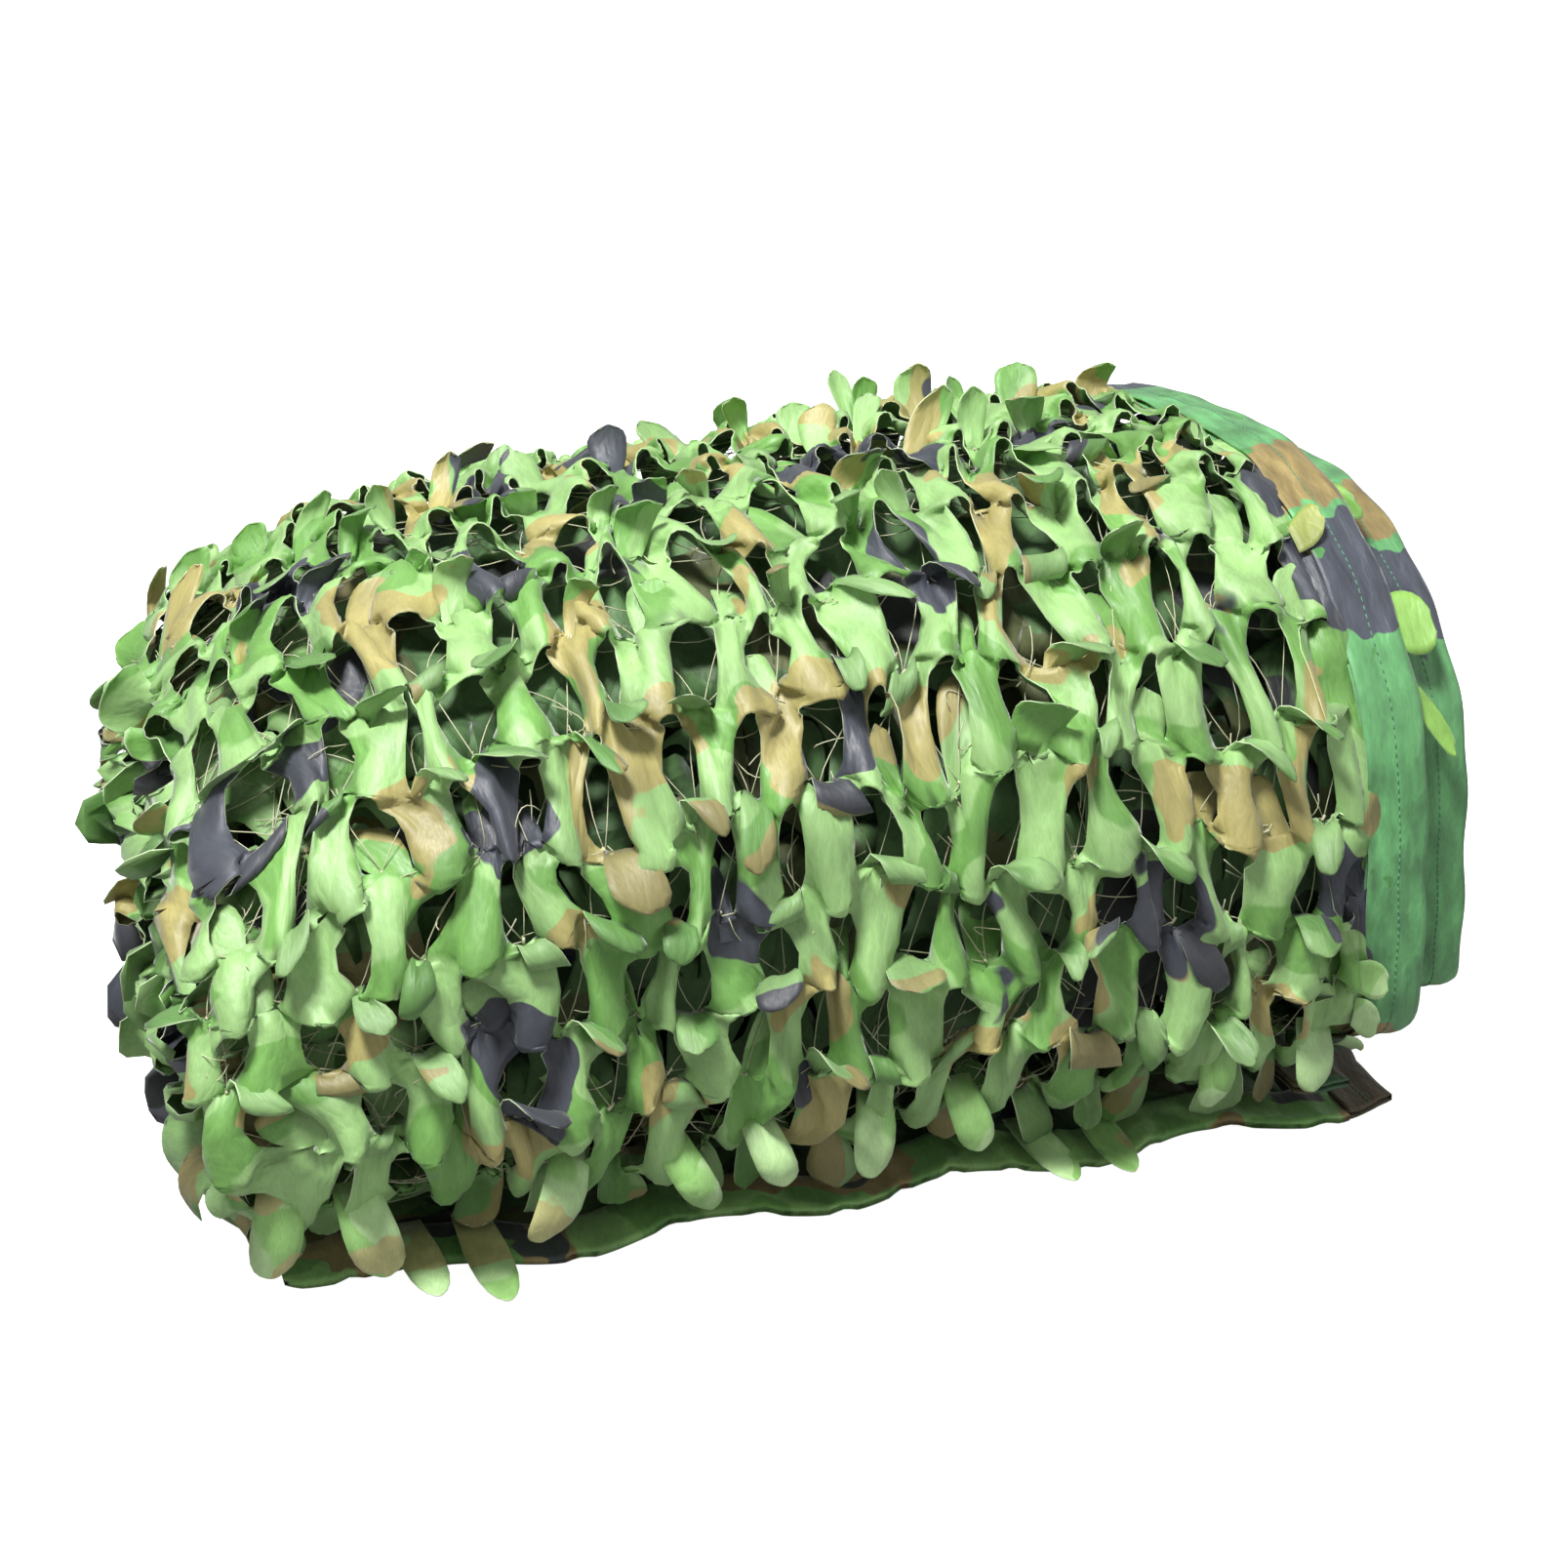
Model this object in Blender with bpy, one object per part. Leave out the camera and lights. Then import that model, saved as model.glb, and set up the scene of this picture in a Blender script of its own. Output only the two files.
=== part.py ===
"""Camouflage netting, folded into a bundle: leaf-cut cloth with sewn edge bindings.

The cloth is drawn flat, cut, and then folded, as its maker and its owner would do it.
Flat, a point has two coordinates: `across`, from the outer layer's right edge round the
left-hand fold to the inner layer's right edge, and `along`, from the short edge on the
floor to the end at the core.  Folded, the doubled strip runs back and forth: a floor run,
three nested round folds that face -Y, and a core run.  Metres, +Z up, X along the bundle.
"""

import bisect
import math
import random

import bmesh
import bpy
from mathutils import Vector
from mathutils.geometry import delaunay_2d_cdt

# Driving dimensions of the bundle.
CLOTH = 0.002  # thickness of the cloth with its cords
LAYER_GAP = 0.024  # from one layer's middle to the next, room for the leaves
STRIP_PITCH = 2 * LAYER_GAP  # the doubled strip, from run to run
LEFT_FOLD_X = -0.352
OUTER_EDGE_X = 0.345
INNER_EDGE_X = 0.385
FLOOR_RUN_Z = CLOTH / 2 + LAYER_GAP / 2
TOP_RUN_Z = 0.345
FRONT_DEPTH = 0.190  # the outer fold, from its centre to its front
FRONT_CENTRE_Y = -0.020
LOWER_SQUARENESS = (8, 5, 3.5)  # of each fold: 2 is an ellipse, more is squarer
UPPER_SQUARENESS = 2.1
FLOOR_FRONT_Y = -0.181
CORE_FRONT_Y = -0.060
MIDDLE = (0.00165, -0.02043)  # the bundle's middle in x and y, which is put at the origin

# The height that the nested folds share, and half the height of each.
OUTER_HALF = (TOP_RUN_Z - FLOOR_RUN_Z - STRIP_PITCH) / 2
CENTRE_Z = TOP_RUN_Z - OUTER_HALF
HALF_HEIGHT = [OUTER_HALF - fold * STRIP_PITCH for fold in range(3)]
HALF_DEPTH = [FRONT_DEPTH - fold * STRIP_PITCH for fold in range(3)]

# Where the strip turns back behind the bundle, and how far each run has slipped along X.
#                   y      slip
BACK_TURNS = {
    "floor to outer": (0.190, -0.012),
    "outer to middle": (0.160, 0.000),
    "middle to inner": (0.175, -0.006),
    "inner to core": (0.165, 0.004),
}
CORE_SLIP = -0.008
TURN_STEPS = 4
FRONT_STEPS = (12, 8, 6)  # of the outer, middle and inner fold
TOP_STEPS = 4
CURVE_POINTS = 60  # that each curve is measured by, many more than its steps

# The bundle is uneven. It leans back, and its top is highest at the right and in front,
# drops to the left fold and has shallow waves over its front.
LEAN = 0.137  # how far the top lies back, per metre of height
FLAT_HEIGHT = 0.040  # nothing is uneven below this
CROWN = 0.060
CROWN_X = 0.305
CROWN_REACH = 0.449
BACK_DROP = 1.2  # for each square metre of distance from the ridge
RIDGE_Y = -0.037
SHOULDER_X = -0.200
SHOULDER_REACH = 0.150
SHOULDER_DROP = 0.164
SHOULDER_BULGE = 0.016
WAVE = 0.004
WAVE_LENGTH = 0.310
WAVE_TILT = 1.4  # waves that its crests lean over, per metre of height
WAVE_END_X = 0.300
WAVE_FADE = 0.060

# The short edge on the floor is wavy, drawn in, and turned back at its left corner.
HEM_WAVE = 0.010
HEM_WAVE_LENGTH = 0.166
HEM_WAVE_X = -0.016
HEM_DRAWN_IN = 0.054
HEM_CORNER_X = -0.270
HEM_CORNER_REACH = 0.080
HEM_CORNER = 0.023
HEM_FADE = 0.060

# Edge bindings: a strip folded over the cloth's edge.
BINDING_WIDTH = 0.040
BINDING_WALL = 0.0012
CLEARANCE = 0.0003
MARGIN_LIFT = CLEARANCE + BINDING_WALL  # so cloth and binding rest on one floor
RAMP = 0.005  # over which the cloth rises to that
HEM_STEPS = 24  # across the short edge's waves
HEM_START = 0.002  # its binding begins this far from the left fold

# The leaf cut, in rows that are shifted by half against each other.
CUT_COLUMNS = 17
CUT_ROWS = 13
CUT_RIGHT = 0.0445  # across, a little inside the binding
CUT_TUCK = 0.009  # past the fold's middle, where a row without a hole there bends
CUT_START_Y = -0.135  # on the outer fold, low at the front
HOLE_HALF_WIDTH = 0.0125
HOLE_HALF_HEIGHT = 0.0190
#            across  along   lift
HOLE_CORNERS = (
    (0.00, 1.00, 0.015),
    (-1.00, 0.45, 0.007),
    (-0.62, -1.00, -0.004),
    (0.62, -1.00, -0.004),
    (1.00, 0.45, 0.007),
)
HINGE = (2, 3)  # the two hole corners that a leaf hangs from
LEAF_STEP = 0.014  # each of a leaf's two parts
LEAF_HALF_WIDTH = (0.0105, 0.0045)  # at its middle and at its tip
LEAF_BEND = ((55, 100), (105, 150))  # least and most, of each part, in degrees


def remove_objects():
    for obj in list(bpy.data.objects):
        bpy.data.objects.remove(obj)


def material(name, colour, roughness):
    made = bpy.data.materials.new(name)
    made.use_nodes = True
    shader = made.node_tree.nodes["Principled BSDF"]
    shader.inputs["Base Color"].default_value = (*colour, 1)
    shader.inputs["Roughness"].default_value = roughness
    shader.inputs["Metallic"].default_value = 0
    return made


def front_curve(fold):
    """Half a superellipse in (y, z), from the bottom run round the front to the top run."""
    points = []
    for step in range(CURVE_POINTS + 1):
        angle = math.pi * (step / CURVE_POINTS - 0.5)
        power = 2 / (LOWER_SQUARENESS[fold] if angle < 0 else UPPER_SQUARENESS)
        forward = abs(math.cos(angle)) ** power
        up = math.copysign(abs(math.sin(angle)) ** power, angle)
        points.append(
            (
                FRONT_CENTRE_Y - HALF_DEPTH[fold] * forward,
                CENTRE_Z + HALF_HEIGHT[fold] * up,
            )
        )
    return points


def turn_curve(y, z, radius, start):
    """Half a circle behind the bundle, from start (-1 below, 1 above) to the other side."""
    shares = [step / CURVE_POINTS for step in range(CURVE_POINTS + 1)]
    angles = [start * math.pi * (0.5 - done) for done in shares]
    return [(y + radius * math.cos(a), z + radius * math.sin(a)) for a in angles]


class Path:
    """The strip's middle line in (y, z), with its slip along X, measured by its length."""

    def __init__(self):
        self.points = []
        self.lengths = []
        self.slips = []
        self.stations = []

    def add(self, points, slips, stations):
        """Joins a piece of curve on, with a slip at each end and so many even stations."""
        began = self.lengths[-1] if self.lengths else 0.0
        for index, point in enumerate(points):
            if self.points and math.dist(point, self.points[-1]) < 1e-6:
                continue
            step = math.dist(point, self.points[-1]) if self.points else 0.0
            self.lengths.append(self.lengths[-1] + step if self.points else 0.0)
            self.points.append(point)
            done = index / (len(points) - 1)
            self.slips.append(slips[0] + done * (slips[1] - slips[0]))
        ended = self.lengths[-1]
        self.stations += [
            began + (ended - began) * k / stations for k in range(stations)
        ]
        return began, ended

    def at(self, length):
        """(y, z), the unit normal that points to the outer layer, and the slip."""
        length = min(max(length, 0.0), self.lengths[-1])
        k = min(bisect.bisect_right(self.lengths, length), len(self.lengths) - 1)
        k = max(k, 1)
        done = (length - self.lengths[k - 1]) / (self.lengths[k] - self.lengths[k - 1])
        a, b = Vector(self.points[k - 1]), Vector(self.points[k])
        before = Vector(self.points[max(k - 2, 0)])
        after = Vector(self.points[min(k + 1, len(self.points) - 1)])
        tangent = (b - before).normalized().lerp((after - a).normalized(), done)
        tangent.normalize()
        slip = self.slips[k - 1] + done * (self.slips[k] - self.slips[k - 1])
        return a.lerp(b, done), Vector((-tangent.y, tangent.x)), slip


def strip_path():
    """The whole back-and-forth run, and where on it the outer fold's front begins and ends."""
    path = Path()
    (y0, slip0), (y1, slip1), (y2, slip2), (y3, slip3) = BACK_TURNS.values()
    bottom = [CENTRE_Z - half for half in HALF_HEIGHT]
    top = [CENTRE_Z + half for half in HALF_HEIGHT]
    middle = FRONT_CENTRE_Y
    radius = STRIP_PITCH / 2
    core_radius = HALF_HEIGHT[2] / 2

    def straight(ya, yb, z, slip, stations=1):
        line = [(ya + (yb - ya) * k / CURVE_POINTS, z) for k in range(CURVE_POINTS + 1)]
        return path.add(line, (slip, slip), stations)

    def turn(y, z, turn_radius, start, slips):
        path.add(turn_curve(y, z, turn_radius, start), slips, TURN_STEPS)

    inside_binding = FLOOR_FRONT_Y + BINDING_WIDTH
    straight(FLOOR_FRONT_Y, inside_binding, FLOOR_RUN_Z, slip0)
    straight(inside_binding, inside_binding + RAMP, FLOOR_RUN_Z, slip0)
    straight(inside_binding + RAMP, y0, FLOOR_RUN_Z, slip0)
    turn(y0, FLOOR_RUN_Z + radius, radius, -1, (slip0, 0.0))
    straight(y0, middle, bottom[0], 0.0)
    front = path.add(front_curve(0), (0.0, 0.0), FRONT_STEPS[0])
    straight(middle, y1, top[0], 0.0, TOP_STEPS)
    outer_end = path.lengths[-1]
    turn(y1, top[0] - radius, radius, 1, (0.0, slip1))
    straight(y1, middle, top[1], slip1)
    path.add(front_curve(1)[::-1], (slip1, slip2), FRONT_STEPS[1])
    straight(middle, y2, bottom[1], slip2)
    turn(y2, bottom[1] + radius, radius, -1, (slip2, slip3))
    straight(y2, middle, bottom[2], slip3)
    path.add(front_curve(2), (slip3, slip3), FRONT_STEPS[2])
    straight(middle, y3, top[2], slip3)
    turn(y3, CENTRE_Z + core_radius, core_radius, 1, (slip3, CORE_SLIP))
    straight(y3, CORE_FRONT_Y, CENTRE_Z, CORE_SLIP)
    path.stations.append(path.lengths[-1])
    return path, front[0], outer_end


PATH, FRONT_START, OUTER_END = strip_path()

# Places across the flat strip: outer layer, fold, inner layer.
FOLD_RADIUS = LAYER_GAP / 2
FOLD_START = OUTER_EDGE_X - (LEFT_FOLD_X + FOLD_RADIUS)
FOLD_END = FOLD_START + math.pi * FOLD_RADIUS
FOLD_MIDDLE = (FOLD_START + FOLD_END) / 2
STRIP_WIDTH = FOLD_END + INNER_EDGE_X - (LEFT_FOLD_X + FOLD_RADIUS)
OUTER_MARGIN = BINDING_WIDTH
INNER_MARGIN = STRIP_WIDTH - BINDING_WIDTH
FRONT_MARGIN = BINDING_WIDTH


def across_profile(across):
    """A place across the folded strip, and which way a lift takes it there.

    It is x and the height over the strip's middle, then both for a lift of 1.  On the
    outer layer and the fold a lift goes outwards, and on the inner layer towards the outer.
    """
    fold_x = LEFT_FOLD_X + FOLD_RADIUS
    if across < FOLD_START:
        return OUTER_EDGE_X - across, FOLD_RADIUS, 0.0, 1.0
    if across < FOLD_END:
        turn = (across - FOLD_START) / FOLD_RADIUS
        out_x, out_height = -math.sin(turn), math.cos(turn)
        return (
            fold_x + FOLD_RADIUS * out_x,
            FOLD_RADIUS * out_height,
            out_x,
            out_height,
        )
    return fold_x + across - FOLD_END, -FOLD_RADIUS, 0.0, 1.0


def share(value, start, reach):
    """How far value has come from start over reach, from 0 to 1."""
    return min(max((value - start) / reach, 0.0), 1.0)


def margin_lift(across, along):
    """The inner layer is lifted inside its bindings, so that they lie flush with it."""
    if across < FOLD_END:
        return 0.0
    side = share(across, INNER_MARGIN - RAMP, RAMP)
    front = 1 - share(along, FRONT_MARGIN, RAMP)
    return MARGIN_LIFT * max(side, front)


def uneven(x, y, z, hem=0.0):
    """The bundle's own unevenness. It leaves the floor flat. hem is 1 at the floor's edge."""
    high = share(z, FLAT_HEIGHT, TOP_RUN_Z - FLAT_HEIGHT)
    high = high * high * (3 - 2 * high)
    shoulder = share(-x, -SHOULDER_X, SHOULDER_REACH) ** 2
    crown = CROWN * (1 - ((x - CROWN_X) / CROWN_REACH) ** 2)
    crown -= BACK_DROP * (y - RIDGE_Y) ** 2 + SHOULDER_DROP * shoulder
    fade = share(-x, -WAVE_END_X, WAVE_FADE)
    turns = x / WAVE_LENGTH + WAVE_TILT * z
    wave = WAVE * math.sin(2 * math.pi * turns) * high * fade
    bulge = SHOULDER_BULGE * shoulder * math.sin(math.pi * min(z / TOP_RUN_Z, 1.0))
    hem_turns = (x - HEM_WAVE_X) / HEM_WAVE_LENGTH
    hem_wave = HEM_WAVE * math.cos(2 * math.pi * hem_turns)
    hem_wave -= HEM_CORNER * share(-x, -HEM_CORNER_X, HEM_CORNER_REACH)
    return Vector(
        (
            x * (1 - HEM_DRAWN_IN * hem) - bulge - MIDDLE[0],
            y + LEAN * (z - CENTRE_Z) + wave - hem_wave * hem - MIDDLE[1],
            z * (1 + crown * high),
        )
    )


def folded(across, along, lift=0.0):
    """The place in space of a point of the flat cloth, raised by lift from the cloth."""
    (y, z), normal, slip = PATH.at(along)
    x, height, out_x, out_height = across_profile(across)
    height += lift * out_height
    hem = 1 - share(along, FRONT_MARGIN + RAMP, HEM_FADE)
    return uneven(
        x + slip + lift * out_x, y + normal.x * height, z + normal.y * height, hem
    )


def cut_start():
    """Where the leaf cut begins: on the outer fold's front, at CUT_START_Y going up."""
    length = FRONT_START
    while PATH.at(length)[0].x > CUT_START_Y:
        length += 0.001
    return length


def row_middles():
    """Where each row of holes lies along the strip."""
    start = cut_start()
    pitch = (OUTER_END - start) / CUT_ROWS
    return [start + (row + 0.5) * pitch for row in range(CUT_ROWS)]


def leaf_holes():
    """The holes of the leaf cut, each a list of its corners as (across, along, lift)."""
    column = (FOLD_MIDDLE - CUT_RIGHT) / (CUT_COLUMNS - 0.5)
    holes = []
    for row, middle in enumerate(row_middles()):
        for place in range(CUT_COLUMNS - row % 2):
            across = CUT_RIGHT + (place + 0.5 + 0.5 * (row % 2)) * column
            holes.append(
                [
                    (
                        across - u * HOLE_HALF_WIDTH,
                        middle + v * HOLE_HALF_HEIGHT,
                        lift,
                    )
                    for u, v, lift in HOLE_CORNERS
                ]
            )
    return holes


def hem_places():
    """Places across the inner layer's floor edge, close enough together for its waves."""
    start = FOLD_END + HEM_START
    end = INNER_MARGIN - RAMP
    even = [start + (end - start) * k / HEM_STEPS for k in range(HEM_STEPS + 1)]
    return [*even, INNER_MARGIN - CLEARANCE]


def in_hole(across, along, hole):
    """Whether a flat point lies inside a hole: on one side of each of its edges."""
    turns = [
        (b[0] - a[0]) * (along - a[1]) - (b[1] - a[1]) * (across - a[0])
        for a, b in zip(hole, hole[1:] + hole[:1])
    ]
    return max(turns) < 0 or min(turns) > 0


def flat_cloth(holes):
    """Flat triangles of the cut cloth: points as (across, along, lift), and faces."""
    stations = PATH.stations
    places = [0.0, OUTER_MARGIN, (OUTER_MARGIN + FOLD_START) / 2]
    places += [FOLD_START, FOLD_MIDDLE, FOLD_END, hem_places()[HEM_STEPS // 2]]
    places += [INNER_MARGIN - RAMP, INNER_MARGIN, STRIP_WIDTH]
    cut_low = max(s for s in stations if s < min(c[1] for c in holes[0]))
    cut_high = min(s for s in stations if s > max(c[1] for c in holes[-1]))
    points, edges, index = [], [], {}

    def point(across, along, lift=0.0):
        key = (round(across, 7), round(along, 7))
        if key not in index:
            index[key] = len(points)
            points.append((across, along, lift))
        return index[key]

    def line(a, b):
        across, along = (a[0] + b[0]) / 2, (a[1] + b[1]) / 2
        if not (OUTER_MARGIN < across < FOLD_END and cut_low < along < cut_high):
            edges.append((point(*a), point(*b)))

    for along in stations:
        for a, b in zip(places, places[1:]):
            line((a, along), (b, along))
    for across in places:
        for a, b in zip(stations, stations[1:]):
            line((across, a), (across, b))
    for along in (0.0, FRONT_MARGIN, FRONT_MARGIN + RAMP):
        for across in hem_places():
            point(across, along)
    for middle in row_middles()[1::2]:
        point(FOLD_MIDDLE + CUT_TUCK, middle)
    for hole in holes:
        ring = [point(*corner) for corner in hole]
        edges += [(a, b) for a, b in zip(ring, ring[1:] + ring[:1])]
    whole = [Vector((p[0], p[1])) for p in points]
    found, _, triangles, origins, _, _ = delaunay_2d_cdt(whole, edges, [], 0, 1e-9)
    lifts = [max((points[k][2] for k in origin), key=abs) for origin in origins]
    kept = []
    for face in triangles:
        across = sum(found[k][0] for k in face) / 3
        along = sum(found[k][1] for k in face) / 3
        if not any(in_hole(across, along, hole) for hole in holes):
            kept.append(face)
    return [(p[0], p[1], lift) for p, lift in zip(found, lifts)], kept


def add_leaf(mesh, left, right, flat_hinge, chance):
    """A leaf of two bent parts on the hinge between two corners of its hole."""
    place = (left.co + right.co) / 2
    side = (right.co - left.co).normalized()
    across, along = flat_hinge
    out = (folded(across, along, CLOTH) - folded(across, along)).normalized()
    up = (folded(across, along + CLOTH) - folded(across, along)).normalized()
    ends = (left, right)
    for half_width, (least, most) in zip(LEAF_HALF_WIDTH, LEAF_BEND):
        bend = math.radians(chance.uniform(least, most))
        skew = chance.uniform(-0.25, 0.25)
        direction = up * math.cos(bend) + out * math.sin(bend) + side * skew
        place = place + direction.normalized() * LEAF_STEP
        made = (
            mesh.verts.new(place - side * half_width),
            mesh.verts.new(place + side * half_width),
        )
        mesh.faces.new((ends[0], ends[1], made[1], made[0]))
        ends = made


def make_cloth(finish):
    """The leaf-cut cloth, doubled and folded back and forth, as one solid."""
    holes = leaf_holes()
    flat, faces = flat_cloth(holes)
    mesh = bmesh.new()
    corners = {}
    for across, along, lift in flat:
        lift += margin_lift(across, along)
        vertex = mesh.verts.new(folded(across, along, lift))
        corners[(round(across, 5), round(along, 5))] = vertex
    mesh.verts.ensure_lookup_table()
    for face in faces:
        mesh.faces.new([mesh.verts[k] for k in face])
    chance = random.Random(4)
    for hole in holes:
        (left_across, along, _), (right_across, _, _) = (hole[k] for k in HINGE)
        left = corners[(round(left_across, 5), round(along, 5))]
        right = corners[(round(right_across, 5), round(along, 5))]
        flat_hinge = ((left_across + right_across) / 2, along)
        add_leaf(mesh, left, right, flat_hinge, chance)
    bmesh.ops.recalc_face_normals(mesh, faces=mesh.faces)
    data = bpy.data.meshes.new("net_cloth")
    mesh.to_mesh(data)
    mesh.free()
    cloth = bpy.data.objects.new("net_cloth", data)
    bpy.context.scene.collection.objects.link(cloth)
    solid = cloth.modifiers.new("thickness", "SOLIDIFY")
    solid.thickness = CLOTH
    solid.offset = 0
    data.materials.append(finish)
    return cloth


def channel(edge_width):
    """The section of a binding: (from the cloth's edge inwards, height over the cloth)."""
    half = CLOTH / 2 + CLEARANCE
    outside, inside = half + BINDING_WALL, half
    web = -CLEARANCE
    return (
        (web - BINDING_WALL, -outside),
        (edge_width, -outside),
        (edge_width, -inside),
        (web, -inside),
        (web, inside),
        (edge_width, inside),
        (edge_width, outside),
        (web - BINDING_WALL, outside),
    )


def sweep(name, rings, finish):
    """A solid through rings of points, with flat ends."""
    mesh = bmesh.new()
    made = [[mesh.verts.new(point) for point in ring] for ring in rings]
    for ring, following in zip(made, made[1:]):
        for k in range(len(ring)):
            after = (k + 1) % len(ring)
            mesh.faces.new((ring[k], ring[after], following[after], following[k]))
    mesh.faces.new(made[0][::-1])
    mesh.faces.new(made[-1])
    bmesh.ops.recalc_face_normals(mesh, faces=mesh.faces)
    data = bpy.data.meshes.new(name)
    mesh.to_mesh(data)
    mesh.free()
    data.materials.append(finish)
    binding = bpy.data.objects.new(name, data)
    bpy.context.scene.collection.objects.link(binding)
    return binding


def make_side_binding(name, inner_layer, finish):
    """A binding along a long edge, through every run and turn of the strip."""
    lift = MARGIN_LIFT if inner_layer else 0.0
    rings = []
    for along in PATH.stations:
        ring = []
        for inwards, height in channel(BINDING_WIDTH - CLEARANCE):
            across = STRIP_WIDTH - inwards if inner_layer else inwards
            ring.append(folded(across, along, lift + height))
        rings.append(ring)
    return sweep(name, rings, finish)


def make_front_binding(finish):
    """The binding of the short edge on the floor, between the left fold and the corner."""
    rings = []
    for across in hem_places():
        rings.append(
            [
                front_point(across, inwards, MARGIN_LIFT + height)
                for inwards, height in channel(FRONT_MARGIN - CLEARANCE)
            ]
        )
    return sweep("binding_front", rings, finish)


def front_point(across, inwards, lift):
    """A point at the floor run's front edge, where inwards may lie outside the cloth."""
    point = folded(across, max(inwards, 0.0), lift)
    point.y += min(inwards, 0.0)
    return point


def main():
    remove_objects()
    leaf_cloth = material("leaf_cut_cloth", (0.20, 0.42, 0.11), 0.62)
    tape = material("binding_cloth", (0.13, 0.32, 0.14), 0.66)
    make_cloth(leaf_cloth)
    make_side_binding("binding_outer", False, tape)
    make_side_binding("binding_inner", True, tape)
    make_front_binding(tape)


main()
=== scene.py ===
"""Looks of the camouflage netting: leaf-cut cloth, its mesh, its bindings and their sewing.

The bundle is worked out flat and then folded.  A flat point has two coordinates, `a`
across the cloth and `s` along it, and a lift from the cloth towards its printed side.
Metres, +Z up, X along the bundle.
"""

# %% [markdown]
# The frame comes first. It holds the plain solids of the netting, which the pieces made below
# stand for.

import math

import bpy
import numpy as np
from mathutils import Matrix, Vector


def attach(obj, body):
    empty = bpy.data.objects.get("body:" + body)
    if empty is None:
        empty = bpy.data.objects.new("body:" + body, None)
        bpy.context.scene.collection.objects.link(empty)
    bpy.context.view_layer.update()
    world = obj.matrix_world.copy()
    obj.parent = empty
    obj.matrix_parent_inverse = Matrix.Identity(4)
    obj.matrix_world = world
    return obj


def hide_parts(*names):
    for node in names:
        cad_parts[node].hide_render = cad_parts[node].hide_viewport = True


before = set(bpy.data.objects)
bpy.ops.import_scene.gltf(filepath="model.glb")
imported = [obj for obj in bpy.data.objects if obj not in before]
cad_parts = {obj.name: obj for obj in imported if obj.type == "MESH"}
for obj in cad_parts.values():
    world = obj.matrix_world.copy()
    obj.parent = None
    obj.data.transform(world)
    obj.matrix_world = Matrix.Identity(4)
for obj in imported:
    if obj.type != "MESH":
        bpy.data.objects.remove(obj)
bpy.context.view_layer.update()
scene = bpy.context.scene
chance = np.random.default_rng(11)
print("solids:", sorted(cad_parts))

# %% [markdown]
# The netting is a cloth of about 1.45 m by 3.25 m, doubled once. The doubled strip is
# folded back and forth into a bundle. The same sizes that shaped the solids shape the
# cloth here, so each piece lies where its solid does.

# %% Sizes of the fold
LAYER_GAP = 0.024  # from one layer's middle to the next
STRIP_PITCH = 2 * LAYER_GAP
LEFT_FOLD_X = -0.352
OUTER_EDGE_X = 0.345
INNER_EDGE_X = 0.385
FLOOR_RUN_Z = 0.013
TOP_RUN_Z = 0.345
FRONT_DEPTH = 0.190
FRONT_CENTRE_Y = -0.020
LOWER_SQUARENESS = (8, 5, 3.5)
UPPER_SQUARENESS = 2.1
FLOOR_FRONT_Y = -0.181
CORE_FRONT_Y = -0.060
CORE_SLIP = -0.008
BACK_TURNS = ((0.190, -0.012), (0.160, 0.0), (0.175, -0.006), (0.165, 0.004))
MIDDLE = (0.00165, -0.02043)

OUTER_HALF = (TOP_RUN_Z - FLOOR_RUN_Z - STRIP_PITCH) / 2
CENTRE_Z = TOP_RUN_Z - OUTER_HALF
FOLD_RADIUS = LAYER_GAP / 2
FOLD_X = LEFT_FOLD_X + FOLD_RADIUS
FOLD_START = OUTER_EDGE_X - FOLD_X
FOLD_END = FOLD_START + math.pi * FOLD_RADIUS
FOLD_MIDDLE = (FOLD_START + FOLD_END) / 2
CLOTH_WIDTH = FOLD_END + INNER_EDGE_X - FOLD_X
CURVE_STEPS = 60


def share(value, start, reach):
    """(value - start) / reach, kept from 0 to 1."""
    return np.clip((value - start) / reach, 0, 1)


def smooth(value):
    """3 v^2 - 2 v^3 of a value kept from 0 to 1."""
    value = np.clip(value, 0, 1)
    return value * value * (3 - 2 * value)


# %% [markdown]
# The strip's middle line is one long curve in (y, z): straight runs, three nested round
# fronts and the turns between them. It is measured by its length, as the cloth is.


# %% The strip's path
def front_curve(fold):
    """Half a superellipse, from the bottom run round the front to the top run."""
    angle = np.pi * (np.linspace(0, 1, CURVE_STEPS + 1) - 0.5)
    power = 2 / np.where(angle < 0, LOWER_SQUARENESS[fold], UPPER_SQUARENESS)
    depth = FRONT_DEPTH - fold * STRIP_PITCH
    half = OUTER_HALF - fold * STRIP_PITCH
    y = FRONT_CENTRE_Y - depth * np.abs(np.cos(angle)) ** power
    z = CENTRE_Z + half * np.sign(angle) * np.abs(np.sin(angle)) ** power
    return np.c_[y, z]


def turn_curve(y, z, radius, start):
    """Half a circle behind the bundle, from start (-1 below, 1 above) to the other side."""
    angle = start * np.pi * (0.5 - np.linspace(0, 1, CURVE_STEPS + 1))
    return np.c_[y + radius * np.cos(angle), z + radius * np.sin(angle)]


def run_line(y0, y1, z):
    """A straight run at one height."""
    y = np.linspace(y0, y1, CURVE_STEPS + 1)
    return np.c_[y, np.full_like(y, z)]


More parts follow.
